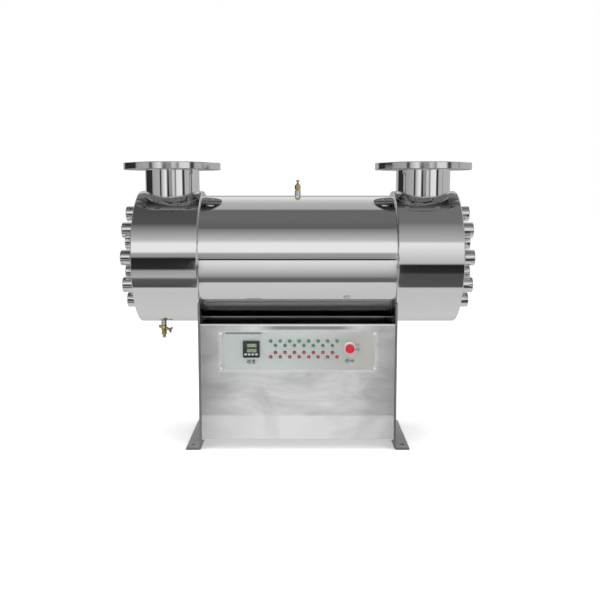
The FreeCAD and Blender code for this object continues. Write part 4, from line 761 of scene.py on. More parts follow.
# Each finish by its slot: how it's made, and what sets it apart.
ROUND_LINES = dict(stretch=(4.0, 9000.0, 1.0), around=True)
RECIPES = {"polished_steel": (polished_metal, dict(colour=(0.80, 0.80, 0.795), roughness=0.03, dull=0.02)),
           # flange_turned carries painted shade on the flange's underside.
           "flange_turned": (drawn_metal, dict(colour=(0.74, 0.74, 0.73), roughness=0.12, stretch=(6.0,
                             14000.0, 1.0), tone=0.14, spread=0.1, depth=0.000006, around=True,
                             dark_below=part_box("left_flange")[0].z + 0.001)), "turned_steel": (drawn_metal,
           dict(colour=(0.78, 0.78, 0.77), roughness=0.10, stretch=(6.0, 40000.0, 1.0), tone=0.1,
                spread=0.1, around=True)), "plate_steel": (drawn_metal, dict(colour=(0.66, 0.66, 0.65),
           roughness=0.24, stretch=(600.0, 14.0, 600.0))), "cabinet_sheet": (cabinet_finish,
           dict(name="cabinet_polish")), "side_plate_steel": (drawn_metal, dict(colour=(0.42, 0.42, 0.43),
           roughness=0.42, stretch=(500.0, 10.0, 500.0), tone=0.2, spread=0.2, cloud=0.25, wave_scale=9.0)),
           "hinge_steel": (drawn_metal, dict(colour=(0.62, 0.62, 0.61), roughness=0.26, stretch=(500.0,
                           500.0, 20.0))), "lock_zinc": (worn_metal, dict(colour=(0.62, 0.62, 0.62),
           bright=(0.85, 0.85, 0.85))), "brass": (worn_metal, dict(colour=(0.80, 0.60, 0.25), bright=(0.92,
           0.76, 0.42), tarnish=0.15)), "screw_chrome": (drawn_metal, dict(colour=(0.92, 0.92, 0.93),
           roughness=0.16, tone=0.08, spread=0.08, metallic=0.55, **ROUND_LINES)), "seal_rubber": (moulded,
           dict(colour=(0.025, 0.025, 0.026), roughness=0.62, texture=900.0, depth=0.00006, sheen=0.2)),
           "quartz": (glass, dict(colour=(0.97, 0.98, 0.99), roughness=0.02, ior=1.46)),
           "lamp_glass": (glass, dict(colour=(0.90, 0.94, 0.98), roughness=0.12, ior=1.47)),
           "lamp_ceramic": (moulded, dict(colour=(0.80, 0.77, 0.70), roughness=0.35, texture=700.0)),
           "panel_acrylic": (clear_plate, dict(colour=(0.92, 0.94, 0.93), body=0.08, edge=0.45)),
           "legend_film": (film_finish, dict(name="legend_sheet")), "bezel_chrome": (drawn_metal,
           dict(colour=(0.96, 0.96, 0.96), roughness=0.12, tone=0.06, spread=0.06, metallic=0.5,
                **ROUND_LINES)), "green_lens": (signal_lens, dict(deep=(0.0, 0.06, 0.022), bright=(0.01,
           0.25, 0.10))), "red_lens": (signal_lens, dict(deep=(0.08, 0.0, 0.004), bright=(0.34, 0.012,
           0.018))), "timer_plastic": (moulded, dict(colour=(0.012, 0.014, 0.016), roughness=0.32,
           texture=1800.0, coat=0.2, wear_to=(0.06, 0.06, 0.06))), "display_glass": (moulded,
           dict(colour=(0.10, 0.115, 0.07), roughness=0.10, texture=300.0, depth=0.000004, tone=0.3,
                coat=1.0)), "digit_glow": (moulded, dict(colour=(0.42, 0.50, 0.24), roughness=0.3,
           texture=600.0, depth=0.000004, tone=0.2)), "key_plastic": (moulded, dict(colour=(0.42, 0.50,
           0.58), roughness=0.35, texture=1600.0, wear_to=(0.7, 0.75, 0.8))), "switch_red": (moulded,
           dict(colour=(0.52, 0.006, 0.012), roughness=0.28, texture=1200.0, depth=0.000015, tone=0.14,
                coat=0.5)), "switch_black": (moulded, dict(colour=(0.02, 0.02, 0.021), roughness=0.38,
           texture=1500.0)), "ballast_case": (moulded, dict(colour=(0.72, 0.73, 0.72), roughness=0.38,
           texture=700.0, depth=0.00004, tone=0.12, wear_to=(0.5, 0.5, 0.5))), "rail_zinc": (worn_metal,
           dict(colour=(0.60, 0.58, 0.50), bright=(0.8, 0.8, 0.78), roughness=0.3)),
           "breaker_plastic": (moulded, dict(colour=(0.62, 0.63, 0.62), roughness=0.42)),
           "toggle_plastic": (moulded, dict(colour=(0.02, 0.06, 0.22), roughness=0.35)),
           "terminal_plastic": (moulded, dict(colour=(0.42, 0.41, 0.38), roughness=0.45)),
           "gland_nylon": (moulded, dict(colour=(0.022, 0.022, 0.024), roughness=0.48, texture=1100.0,
                           depth=0.00004)),}
finishes = {slot: make(**{"name": slot, **given}) for slot, (make, given) in RECIPES.items()}
for row in frame["record"]["materials"]:
    assert row["slot"] in finishes, row["slot"]
for node in frame["nodes"].values():
    for slot in node.material_slots:
        slot.material = finishes[slot.material.name.split(".")[0]]


# ---- Studio: a white sweep, soft boxes, and dark flags for the polished steel to show 
# Brightness of the studio by elevation in degrees, seen from the object: 0 is level towards the
# camera, 90 is straight up, 180 is level behind. The bands are soft boxes, gaps and flags.
BEHIND = [(-180, .45), (-166, .10), (-156, .60), (-120, .70)]
ABOVE_BEHIND = [(168, .30), (180, .45)]
BANDS_MIDDLE = BEHIND + [(-81, .66), (-46, .72), (-45, .15), (-38, .15), (-34, .34), (-18, .72), (-4, .92),
                         (-3, .02), (-1, .02), (0, .34), (9, .42), (12, 1.0), (28, 1.0), (34, .62), (55,
                         .24), (58, .14), (76, .17), (100, .17), (104, .50), (122, .55), (150,
                         .95)] + ABOVE_BEHIND
BANDS_LEFT = BEHIND + [(-60, .66), (-53, .70), (-51, .08), (-36, .12), (-32, .50), (-21, .40), (-18, .03),
                       (1, .02), (3, .34), (9, .45), (12, 1.0), (26, 1.0), (32, .60), (56, .22), (62, .10),
                       (112, .08), (120, .40), (150, .95)] + ABOVE_BEHIND
BANDS_RIGHT = BEHIND + [(-60, .66), (-53, .66), (-51, .10), (-27, .09),
               (-24, .03), (-11, .02), (-8, .60), (10, .82), (26, 1.0), (30, .55), (58, .28), (64, .20),
               (112, .20), (120, .45), (150, .95)] + ABOVE_BEHIND
# The same at the object's own level, by bearing in degrees: 0 is towards the camera, left is negative.
BANDS_LEVEL = [(-180, .50), (-141, .52), (-139, .03), (-87, .03), (-84, .42), (-48, .50), (-46, .05), (-41,
               .05), (-38, .50), (-22, 1.0), (5, .95), (11, .50), (13, .08), (17, .60), (21, .08), (25,
               .90), (48, .95), (51, .04), (59, .05), (62, .52), (82, .55), (84, .20), (88, .56), (180,
               .50)]


# Sideways share of a direction at which the left, middle and right bands meet, and where the level
# bands take over: well to the side, and near level.
LEFT_TO_MIDDLE = -0.119
MIDDLE_TO_RIGHT = 0.1135
ASIDE = (0.2, 0.35)
LEVEL = (0.12, 0.24)
FILL_LIGHT = 0.8
BACKDROP = 1.0


def studio_world():
    world = bpy.data.worlds.new("studio")
    world.use_nodes = True
    t = Tree(world.node_tree)
    world.node_tree.nodes.clear()
    way = t.add("TexCoord").outputs["Generated"]
    x, y, z = t.split(way)
    forward = t.math("MULTIPLY", y, -1.0)

    def banded(angle, stops):
        place = t.rise(angle, -math.pi, math.pi)
        return t.ramp(place, [((degrees + 180) / 360, grey) for degrees, grey in stops])

    elevation = t.math("ARCTAN2", z, forward)
    bearing = t.math("ARCTAN2", x, forward)
    right = t.math("GREATER_THAN", x, MIDDLE_TO_RIGHT)
    left = t.math("LESS_THAN", x, LEFT_TO_MIDDLE)
    colour = t.mix(left, banded(elevation, BANDS_MIDDLE), banded(elevation, BANDS_LEFT))
    colour = t.mix(right, colour, banded(elevation, BANDS_RIGHT))
    aside = t.rise(t.math("ABSOLUTE", x), *ASIDE, interpolation_type="SMOOTHSTEP")
    level = t.rise(t.math("ABSOLUTE", z), *LEVEL, 1.0, 0.0, interpolation_type="SMOOTHSTEP")
    colour = t.mix(t.math("MULTIPLY", aside, level), colour, banded(bearing, BANDS_LEVEL))
    rays = t.add("LightPath").outputs
    colour = t.mix(rays["Is Diffuse Ray"], colour, FILL_LIGHT)
    colour = t.mix(rays["Is Camera Ray"], colour, BACKDROP)
    background = t.add("Background", {"Color": colour, "Strength": 1.0})
    t.add("OutputWorld", {"Surface": background.outputs[0]})
    scene.world = world


def soft_box(name, at, towards, size, power):
    light = bpy.data.lights.new(name, "AREA")
    light.shape = "RECTANGLE"
    light.size, light.size_y = size
    light.energy = power
    lamp = new_object(name, light)
    lamp.location = at
    lamp.rotation_euler = (Vector(towards) - Vector(at)).to_track_quat("-Z", "Y").to_euler()
    lamp.visible_glossy = False


def floor():
    """The plain pale floor. Polished steel sees the studio instead of it."""
    bm = bmesh.new()
    bm.faces.new([bm.verts.new((x, y, 0.0)) for x, y in ((-20, -20), (20, -20), (20, 20), (-20, 20))])
    sheet = from_bmesh("floor", bm)
    f = Finish("pale_floor", Roughness=0.9, Specular_IOR_Level=0.0, Emission_Color=(1.0, 1.0, 1.0),
               Emission_Strength=0.3)
    f.wire(Base_Color=f.mix(f.noise(f.place, 3.0), (0.93, 0.93, 0.93), (0.95, 0.95, 0.95)))
    sheet.data.materials.append(f.material)
    sheet.visible_glossy = False


def studio():
    studio_world()
    floor()
    middle = (Vector(cad_low) + Vector(cad_high)) / 2
    soft_box("overhead", (0.0, -0.6, 3.2), middle, (3.0, 2.4), 45.0)
    for name, x in (("left_box", -2.4), ("right_box", 2.4)):
        soft_box(name, (x, -2.2, 1.6), middle, (1.6, 1.6), 16.0)
    camera = bpy.data.cameras.new("front")
    camera.lens = 51.0
    camera.sensor_width = 36.0
    viewer = new_object("front", camera)
    viewer.location = (0.0067, -2.557, 0.749)
    viewer.rotation_euler = (math.radians(82.71), 0.0, 0.0)
    scene.camera = viewer
    scene.view_settings.view_transform = "Standard"


studio()


# ---- The chamber's flanges, welds and glands -------------------------------
SIDES = (("left", -1, FACING_LEFT), ("right", 1, FACING_RIGHT))
shell_low, shell_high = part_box("chamber_shell")
AXIS = Vector((0.0, 0.0, (shell_low.z + shell_high.z) / 2))
SHELL_R = (shell_high.z - shell_low.z) / 2
DRUM_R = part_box("left_drum")[1].y
SEAM_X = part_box("right_drum")[0].x
BOLT_CIRCLE_R = 120 * MM
BOLT_COUNT = 8
BOLT_HOLE_R = 11.0
COUNTERSINK = 0.7
RAISED_FACE_R = 106
RAISED_FACE_T = 2
GROOVE_COUNT = 9
GROOVE_PITCH = 1.7


def flange(side):
    """A turned flange: eased rims, a raised face with gasket grooves, and countersunk bolt holes."""
    node = side + "_flange"
    low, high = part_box(node)
    centre = ((low.x + high.x) / 2, 0.0, low.z)
    outer = (high.x - low.x) / 2 / MM
    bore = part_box(side + "_nozzle")[1].y / MM
    depth = (high.z - low.z) / MM
    body = depth - RAISED_FACE_T
    outline = [(0, bore + 0.02, 0.6), (0, outer, 1.6), (body, outer, 1.6), (body, RAISED_FACE_R, 0.4),
               (depth, RAISED_FACE_R, 0.6)]
    for k in range(GROOVE_COUNT):
        r = RAISED_FACE_R - 4 - GROOVE_PITCH * k
        outline += [(depth, r), (depth - 0.45, r - 0.5), (depth, r - 1.0)]
    outline += [(depth, bore + 0.02, 1.2)]
    piece = turned(node + "_turned", outline, 160, at=centre)
    rim, beyond = BOLT_HOLE_R + COUNTERSINK, (BOLT_HOLE_R + 3.2, 3)
    tool = turned("drill", [(-beyond[1], 0), (-beyond[1], beyond[0]), (0, rim), (COUNTERSINK, BOLT_HOLE_R),
                            (body - COUNTERSINK, BOLT_HOLE_R), (body, rim), (body + beyond[1], beyond[0]),
                            (body + beyond[1], 0)], 32)
    drills = copies(RING, tool, "polished_steel", centre, count=BOLT_COUNT, radius=BOLT_CIRCLE_R,
                    start=math.pi / BOLT_COUNT)
    discard([tool])
    carve(piece, [drills])
    fitted(piece, "polished_steel", instead_of=[node], finish="flange_turned")


def saddle(centre_x, radius, count):
    """Points where an upright pipe meets the drum."""
    points = []
    for i in range(count):
        angle = math.tau * i / count
        x, y = radius * math.cos(angle), radius * math.sin(angle)
        points.append((centre_x + x, y, AXIS.z + math.sqrt(DRUM_R ** 2 - y ** 2)))
    return points


def circle(centre, radius, count, plane="z"):
    points = []
    for i in range(count):
        a, b = radius * math.cos(math.tau * i / count), radius * math.sin(math.tau * i / count)
        offset = (a, b, 0.0) if plane == "z" else (0.0, a, b)
        points.append(tuple(c + o for c, o in zip(centre, offset)))
    return points


def welds():
    """Dressed beads at the nozzles, the flanges, the drums' shoulders and the small fittings."""
    beads = []
    for side, sign, _ in SIDES:
        low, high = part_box(side + "_nozzle")
        x, pipe_r = (low.x + high.x) / 2, high.y
        beads.append(tube("bead", saddle(x, pipe_r + 0.6 * MM, 240), 1.7 * MM, 0.10))
        beads.append(tube("bead", circle((x, 0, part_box(side + "_flange")[0].z), pipe_r + 0.5 * MM, 180),
                          1.5 * MM, 0.10))
        beads.append(tube("bead", circle((x, 0, high.z), pipe_r - 2.2 * MM, 180), 2.6 * MM, 0.08))
        beads.append(tube("bead", circle((sign * SEAM_X, 0, AXIS.z), SHELL_R + 0.2 * MM, 300, "x"),
                          0.9 * MM, 0.15, 8))
        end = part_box(side + "_end_plate")
        end_x = end[1].x if sign > 0 else end[0].x
        beads.append(tube("bead", circle((end_x - sign * 0.4 * MM, 0, AXIS.z), end[1].y - 0.2 * MM, 280,
                          "x"), 0.9 * MM, 0.15, 8))
    socket_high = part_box("vent_socket")[1]
    beads.append(tube("bead", circle((0, 0, AXIS.z + SHELL_R + 0.2 * MM), socket_high.x + 0.5 * MM, 48),
                      1.2 * MM, 0.12, 8))
    drain_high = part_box("drain_nipple")[1]
    beads.append(tube("bead", circle((middle("drain_nipple")[0], 0, AXIS.z - DRUM_R - 0.1 * MM),
                                     drain_high.y + 0.5 * MM, 48), 1.2 * MM, 0.12, 8))
    fitted(joined("weld_beads", beads), "polished_steel", angle=60)


def saddle_welds():
    """Stitch welds where the side plates carry the drums."""
    beads = []
    for _, sign, _ in SIDES:
        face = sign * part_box("right_side_plate")[0].x + sign * 6 * MM
        for k in range(7):
            middle = math.radians(-90 + (k - 3) * 12.5)
            points = []
            for i in range(12):
                angle = middle + math.radians(5.0) * (i / 11 - 0.5)
                r = DRUM_R - 0.3 * MM
                points.append((face, r * math.cos(angle), AXIS.z + r * math.sin(angle)))
            rod = turned("stitch", [(-8.2, 0), (-8.2, 1.5, 1.2), (8.2, 1.5, 1.2), (8.2, 0)], 10, steps=3)
            for vertex in rod.data.vertices:
                along = vertex.co.z
                angle = middle + along / r
                reach = r + vertex.co.x * (1 + 0.15 * math.sin(along / MM * 3.2))
                vertex.co = (face + vertex.co.y, reach * math.cos(angle), AXIS.z + reach * math.sin(angle))
            beads.append(rod)
    piece = joined("saddle_welds", beads)
    fitted(piece, "side_plate_steel", angle=60)


NUT_LENGTH = 29.0
SPANNER_SLOTS = 4
OUTER_RING = dict(count=10, radius=133 * MM)
INNER_RING = dict(count=5, radius=75 * MM)
OUTER_TURN = math.radians(2.6)
INNER_TURN = OUTER_TURN + math.radians(36)


def on_both_ends(name, node, shape, slot, start_x, loose=0.0):
    """The shape, made along +Z from zero, at every sleeve on both end plates."""
    parts = []
    for _, sign, plane in SIDES:
        for ring, turn in ((OUTER_RING, OUTER_TURN), (INNER_RING, INNER_TURN)):
            start = -(math.pi / 2 + turn) if sign > 0 else turn - math.pi / 2
            parts.append(copies(RING, shape, slot, (sign * start_x, 0.0, AXIS.z), plane, loose,
                                seed=3 + sign, start=start, **ring))
    discard([shape])
    fitted(joined(name, parts), slot, instead_of=[node])


def gland_fittings():
    """What closes each sleeve at both ends: a slotted nut, a threaded socket, a seal and a cable cap."""
    nut_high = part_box("gland_nuts")[1]
    nut_r = (nut_high.y - OUTER_RING["radius"] * math.cos(OUTER_TURN)) / MM
    nut_x = nut_high.x - NUT_LENGTH * MM
    face = NUT_LENGTH
    outline = [(0, 18.6), (0, nut_r, 1.5), (face - 12, nut_r), (face, nut_r, 5.0), (face, 16.6, 0.5),
               (face - 4, 16.5), (face - 4, 12.8), (15.2, 12.8), (15.2, 18.5)]
    nut = turned("nut", outline, 48, steps=5)
    for k in range(SPANNER_SLOTS):
        half = rectangle(6, 2 * 2.6, 1.2, 2, (0, nut_r))
        slot = slab("slot", half, (face - 11) * MM, (face + 1) * MM)
        moved(slot, (0, 0, 45 + 360 / SPANNER_SLOTS * k))
        carve(nut, [slot])
    soften(nut, 0.35, 1, 50)
    on_both_ends("gland_nuts_cut", "gland_nuts", nut, "turned_steel", nut_x, loose=math.tau)

    socket_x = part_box("right_end_plate")[1].x
    thread = threaded(7, 1.5, (1.2, 17.2), (1.9, 18.3), (2.2, 18.3))
    outline = [(0, 12.6), (0, 19.6), (0.9, 18.4)] + thread + [(12.0, 18.1), (24, 18.2, 0.6), (24, 16.4),
            (20, 16.4), (20, 12.6)]
    on_both_ends("gland_sockets_cut", "gland_sockets", turned("socket", outline, 32, steps=2),
                 "turned_steel", socket_x)

    ring = [(22 + 2 * math.sin(math.tau * k / 8), 14.15 + 2 * math.cos(math.tau * k / 8)) for k in range(8)]
    on_both_ends("seal_rings_round", "seal_rings", turned("seal", ring, 28), "seal_rubber", socket_x)

    cap = [(-9, 3.0), (-9, 10.2, 0.6), (0, 10.2), (0, 16, 0.5), (3.2, 16, 0.8), (3.2, 13.6, 0.3), (2.6,
           13.2), (2.6, 9.6), (3.4, 9.0, 0.5), (4, 5.6, 0.6), (4, 3.0, 0.4)]
    on_both_ends("cable_caps_moulded", "cable_caps", turned("cap", cap, 36, steps=3), "seal_rubber",
                 nut_high.x - 4 * MM)


# ---- Vent and drain --------------------------------------------------------
def hexagon_bar(name, across_flats, low, high, chamfer=1.0, at=(0, 0, 0), turn=(0, 0, 0)):
    """A hexagonal bar whose corners are turned off at both ends, along +Z from low to high in mm."""
    bar = slab(name, hexagon(across_flats), low * MM, high * MM)
    corner = across_flats / math.sqrt(3) + 0.1
    rim = across_flats / 2 - 0.1
    envelope = turned("turning", [(low, 0), (low, rim), (low + chamfer, corner), (high - chamfer, corner),
                                  (high, rim), (high, 0)])
    carve(bar, [envelope], "INTERSECT")
    return moved(bar, turn, at)


def vent():
    """The air vent: a steel socket, a brass body and its knurled bleed screw."""
    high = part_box("vent_socket")[1]
    base = (0, 0, AXIS.z + SHELL_R)
    height = (high.z - base[2]) / MM
    socket = turned("vent_socket_turned", [(-1.2, 5.0), (-1.2, 9.0), (height - 4, 9.0), (height - 3.6, 8.6),
                    (height - 3.2, 9.0), (height, 9.0, 0.8), (height, 5.0)], 40, at=base)
    fitted(socket, "polished_steel", instead_of=["vent_socket"])

    top = (0, 0, high.z)
    parts = [hexagon_bar("hexagon", 15.0, 3.0, 16.5, 1.2, top, (0, 0, 30))]
    thread = [(-8, 2.4), (-8, 4.9)] + threaded(7, 1, (-7.4, 4.4), (-6.9, 4.98))
    outline = thread + [(0, 5.6), (0.1, 7.2, 0.4), (2.2, 7.3, 0.5), (2.6, 6.7), (3.0, 6.7), (3.2, 2.4)]
    parts.append(turned("shank", outline, 36, at=top, steps=2))
    nose = [(16.3, 2.4), (16.3, 7.0), (17.0, 6.9, 0.5), (18.4, 6.2), (18.8, 5.4, 0.3), (21.5, 3.8, 0.5),
            (21.5, 2.4)]
    parts.append(turned("nose", nose, 36, at=top, steps=3))
    fitted(joined("vent_body_cut", parts), "brass", instead_of=["vent_body"])

    knob_z = high.z + (21.5 + 0.3) * MM
    outline = [(-24, 0), (-24, 1.2), (-23, 2.25)] + threaded(13, 1, (-22.5, 2.28), (-22.0, 1.95))
    outline += [(-9, 2.25), (0, 2.25), (0.4, 3.0, 0.4), (1.5, 2.5, 0.8), (6.0, 4.2, 1.5), (7.4, 5.4, 0.3),
                (9.0, 5.4, 0.5), (9.0, 2.6, 0.5), (8.4, 1.6), (8.4, 0)]
    knob = turned("vent_screw_knurled", outline, 72, at=(0, 0, knob_z), steps=3)
    fluted(knob, knob_z, 6.8, 10.0, 4.8, 0.045, 36)
    fitted(knob, "brass", "vent_screw", ["vent_screw"], 30)


DRAIN_TILT = 18.0
WING_START = 15.3


def drain():
    """The drain cock: a steel nipple, a cast body, and a tilted plug turned by one flat wing."""
    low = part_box("drain_nipple")[0]
    x = middle("drain_nipple")[0]
    drum_bottom = AXIS.z - DRUM_R
    length = (drum_bottom - low.z) / MM
    outline = [(0, 3.5), (0, 8.0, 0.8), (length * 0.45, 8.0), (length * 0.45 + 0.4, 7.5),
               (length * 0.45 + 0.8, 8.0), (length + 0.15, 8.0), (length + 0.15, 3.5)]
    nipple = turned("drain_nipple_turned", outline, 40, at=(x, 0, low.z))
    fitted(nipple, "polished_steel", instead_of=["drain_nipple"])

    top = Vector((x, 0, low.z))
    plug = top + Vector((0, 0, -8.5 * MM))
    tilted = (0, 90 + DRAIN_TILT, 0)
    body = turned("drain_body_cast", [(0, 3.5), (0, 8.7, 0.5), (-3.4, 8.7, 0.4), (-4.0, 7.9, 0.4), (-5.0,
                  7.9), (-8.0, 8.6, 2.0), (-14.0, 8.4, 2.0), (-18.0, 7.6, 1.0), (-24.5, 7.6, 0.5), (-25.2,
                  8.7, 0.5), (-28, 8.7, 0.8), (-28, 5.6, 0.3), (-30.0, 5.2), (-32.2, 5.75, 0.3), (-34.2,
                  5.2), (-36.4, 5.75, 0.3), (-38.0, 4.9, 0.6), (-39, 4.7, 0.4), (-39, 3.5)], 48, at=top,
                  steps=3)
    boss = turned("boss", [(-12, 0), (-12, 5.0, 0.5), (-10.4, 5.5, 0.3), (10.4, 5.5, 0.3), (12, 5.0, 0.5),
                                  (12, 0)], 40, steps=3)
    moved(boss, tilted, plug)
    carve(body, [boss], "UNION")
    seat = turned("seat", [(-14, 0), (-14, 3.55), (14, 3.55), (14, 0)], 32)
    carve(body, [moved(seat, tilted, plug)])
    fitted(body, "brass", instead_of=["drain_body"], angle=30)

    stem = turned("stem", [(-12.3, 0), (-12.3, 3.5), (12.3, 3.5), (12.3, 4.5, 0.4), (WING_START, 4.5, 0.4),
                                  (WING_START, 0)], 32, steps=3)
    tip = turned("tip", [(-17.2, 0), (-17.2, 2.2, 0.5), (-15.2, 2.3), (-15.2, 0)], 24, steps=2)
    back = hexagon_bar("back_nut", 9.0, -15.6, -12.35, 0.6)
    wing = [(-1.6, 3.8, 0.6), (1.6, 4.2, 1.0), (5.0, 8.6, 2.0), (9.6, 10.0, 2.6), (10.6, 5.6, 2.4), (8.2, 0,
            2.5)]
    wing += [(x, -y, *r) for x, y, *r in wing[-2::-1]]
    blade = slab("blade", rounded(wing[::-1], 5), -1.7 * MM, 1.7 * MM)
    soften(blade, 0.9, 3, 40)
    for vertex in blade.data.vertices:
        reach = vertex.co.y / MM
        vertex.co.z += 0.006 * reach * abs(reach) * MM
    blade.data.transform(Matrix(((0, 1, 0, 0), (0, 0, 1, 0), (1, 0, 0, WING_START * MM), (0, 0, 0, 1))))
    handle = joined("drain_handle_cast", [stem, tip, back, blade])
    moved(handle, tilted, plug)
    fitted(handle, "brass", "drain_handle", ["drain_handle"], 30)


# ---- Control panel ---------------------------------------------------------
film_low, film_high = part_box("panel_film")
plate_low, plate_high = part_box("control_panel")
PLATE_Z = (plate_low.z + plate_high.z) / 2
FACE_Y = plate_low.y
LIGHTS_X = 18 * MM
LIGHT_PITCH = 27.2 * MM
LIGHT_ROWS = (("green", 323, 8), ("green", 310, 7), ("red", 290, 7), ("red", 277, 8))
TIMER, SWITCH = (Vector((x, FACE_Y, z)) for x, _, z in (middle("timer_bezel"), middle("switch_collar")))
SCREWS = Vector((220.5, 51.0)) * MM
LIGHT_HOLE_R, SCREW_HOLE_R, SWITCH_HOLE_R = 6.1, 2.3, 10.8
TIMER_WINDOW = 45.1


def front(piece, x, z, y=None):
    """Stands a piece made in the XY plane up against the panel's face, at x and z in metres."""
    return moved(piece, (90, 0, 0), (x, FACE_Y if y is None else y, z))


def hole(radius, depth=30.0, sides=32):
    return turned("hole", [(-depth, 0), (-depth, radius), (depth, radius), (depth, 0)], sides)


def control_holes():
    """Cutters, about the plate's middle, for the lamps, the screws, the switch and the timer."""
    cutters = []
    spot = hole(LIGHT_HOLE_R, sides=24)
    for _, z, count in LIGHT_ROWS:
        cutters.append(copies(ROWS, spot, "panel_acrylic", (LIGHTS_X, z * MM - PLATE_Z, 0), columns=count,
                              rows=1, column_pitch=LIGHT_PITCH))
    discard([spot])
    for sx in (-1, 1):
        for sz in (-1, 1):
            cutters.append(moved(hole(SCREW_HOLE_R), at=(sx * SCREWS.x, sz * SCREWS.y, 0)))
    cutters.append(moved(hole(SWITCH_HOLE_R), at=(SWITCH.x, SWITCH.z - PLATE_Z, 0)))
    cutters.append(slab("window", rectangle(TIMER_WINDOW, TIMER_WINDOW, 0, 1, (TIMER.x / MM,
                        (TIMER.z - PLATE_Z) / MM)), -0.01, 0.01))
    return cutters


def clear_panel():
    """The clear plate, polished round its edge, over the legend sheet, with a hole for each control.

    A hair of air behind the plate keeps its back from lying in the sheet's face.
    """
    for name, low, high, corner, gap, slot, node in (
            ("panel_plate", plate_low, plate_high, 4.0, 0.1, "panel_acrylic", "control_panel"),
            ("legend_sheet_cut", film_low, film_high, 2.0, 0.0, "legend_film", "panel_film")):
        size = (high - low) / MM
        sheet = slab(name, rectangle(size.x, size.z, corner, 5), (gap - size.y) * MM, 0.0)
        if node == "control_panel":
            soften(sheet, 0.7, 3, 40)
        carve(sheet, control_holes())
        front(sheet, 0.0, PLATE_Z, low.y)
        fitted(sheet, slot, instead_of=[node], angle=0)


def lights():
    """Signal lamps in staggered rows: a turned bezel round a domed lens."""
    bezel = turned("bezel", [(0, 5.8), (0, 7.0, 0.2), (1.1, 7.0, 0.3), (2.0, 6.3, 0.4), (2.0, 5.75, 0.2),
                             (1.2, 5.52), (-13.5, 5.52), (-16, 5.4), (-16, 5.8), (-15, 5.8)], 32, steps=2)
    dome = [(1.2, 5.5)]
    for k in range(7):
        angle = math.radians(12 + 78 * k / 6)
        dome.append((1.9 + 2.7 * math.sin(angle) ** 1.3, 5.35 * math.cos(angle) if k < 6 else 0.0))
    lens = turned("lens", [(0.02, 0.0), (0.02, 5.5)] + dome, 32, closed=False, steps=2)
    parts, lenses = [], {"green": [], "red": []}
    for colour, z, count in LIGHT_ROWS:
        row = dict(columns=count, rows=1, column_pitch=LIGHT_PITCH)
        at = (LIGHTS_X, FACE_Y, z * MM)
        parts.append(copies(ROWS, bezel, "bezel_chrome", at, FACING_FRONT, **row))
        lenses[colour].append(copies(ROWS, lens, colour + "_lens", at, FACING_FRONT, loose=math.tau,
                                     seed=z, **row))
    discard([bezel, lens])
    fitted(joined("light_bezels_turned", parts), "bezel_chrome", instead_of=["light_bezels"])
    for colour, rows in lenses.items():
        fitted(joined(colour + "_lenses_domed", rows), colour + "_lens",
               instead_of=[colour + "_lenses"], angle=50)


def screws():
    """Domed panel screws over washers, with cross slots."""
    head = turned("head", [(0, 0), (0, 4.25, 0.2), (0.6, 4.25, 0.3), (0.6, 3.9), (1.2, 3.6, 0.8),
                                  (2.2, 2.2, 1.5), (2.4, 0)], 36, steps=4)
    for turn in (0, 90):
        slot = slab("slot", rectangle(4.6, 0.8), 1.5 * MM, 4 * MM)
        carve(head, [moved(slot, (0, 0, turn))])
    shank = turned("shank", [(-12, 0), (-12, 1.7), (-11.5, 2.0), (0.1, 2.0), (0.1, 0)], 20, steps=1)
    screw = joined("screw", [head, shank])
    piece = copies(ROWS, screw, "screw_chrome", (0, FACE_Y, PLATE_Z), FACING_FRONT, loose=1.2, seed=4,
                   columns=2, rows=2, column_pitch=2 * SCREWS.x, row_pitch=2 * SCREWS.y)
    discard([screw])
    piece.name = "panel_screws_domed"
    fitted(piece, "screw_chrome", instead_of=["panel_screws"])


def arc_band(radius, width, start, end, centre=(0, 0), steps=20):
    """A flat arc's outline in mm, between two angles in degrees."""
    points = []
    for r, order in ((radius + width / 2, range(steps + 1)), (radius - width / 2, range(steps, -1, -1))):
        for k in order:
            angle = math.radians(start + (end - start) * k / steps)
            points.append(Vector((centre[0] + r * math.cos(angle), centre[1] + r * math.sin(angle))) * MM)
    return points


MARK_SINK, MARK_LIFT = 0.1, 0.05
TICK_COUNT, TICK_PITCH = 22, 4.8


def printed_marks():
    """Plain printed marks: a row of ticks, a clock under the timer, and on, off and power by the switch."""
    outlines = []

    def bar(x, z, width, height):
        outlines.append([p + Vector((x, z)) * MM for p in rectangle(width, height)])

    for k in range(TICK_COUNT):
        bar(-205 + TICK_PITCH * k, 345.5, 3.4, 3.2 if k % 4 else 4.4)
    clock = (TIMER.x / MM - 7, 262.5)
    outlines.append(arc_band(4.4, 1.8, 5, 355, clock, 28))
    bar(clock[0], clock[1] + 1.4, 1.4, 3.8)
    for k in range(3):
        bar(clock[0] + 14, clock[1] - 4 + 4 * k, 9.0, 1.9)
    power = (SWITCH.x / MM - 7, 265.5)
    outlines.append(arc_band(4.4, 1.8, 120, 420, power, 26))
    bar(power[0], power[1] + 3.2, 1.8, 5.4)
    for k in range(3):
        bar(power[0] + 10 + 4 * k, power[1], 2.0, 4.0 + 3.0 * k)
    right = SWITCH.x / MM + 26
    bar(right, SWITCH.z / MM + 6.5, 1.8, 5.4)
    outlines.append(arc_band(2.1, 1.5, 5, 355, (right, SWITCH.z / MM - 6.5), 20))
    for k in (-1, 1):
        bar(right - 6.0, SWITCH.z / MM + 6.5 * k, 4.0, 1.6)
    parts = [slab("mark", outline, -MARK_SINK * MM, MARK_LIFT * MM) for outline in outlines]
    piece = joined("panel_marks", parts)
    moved(piece, (90, 0, 0), (0, FACE_Y, 0))
    fitted(piece, "legend_film", finish="timer_plastic")


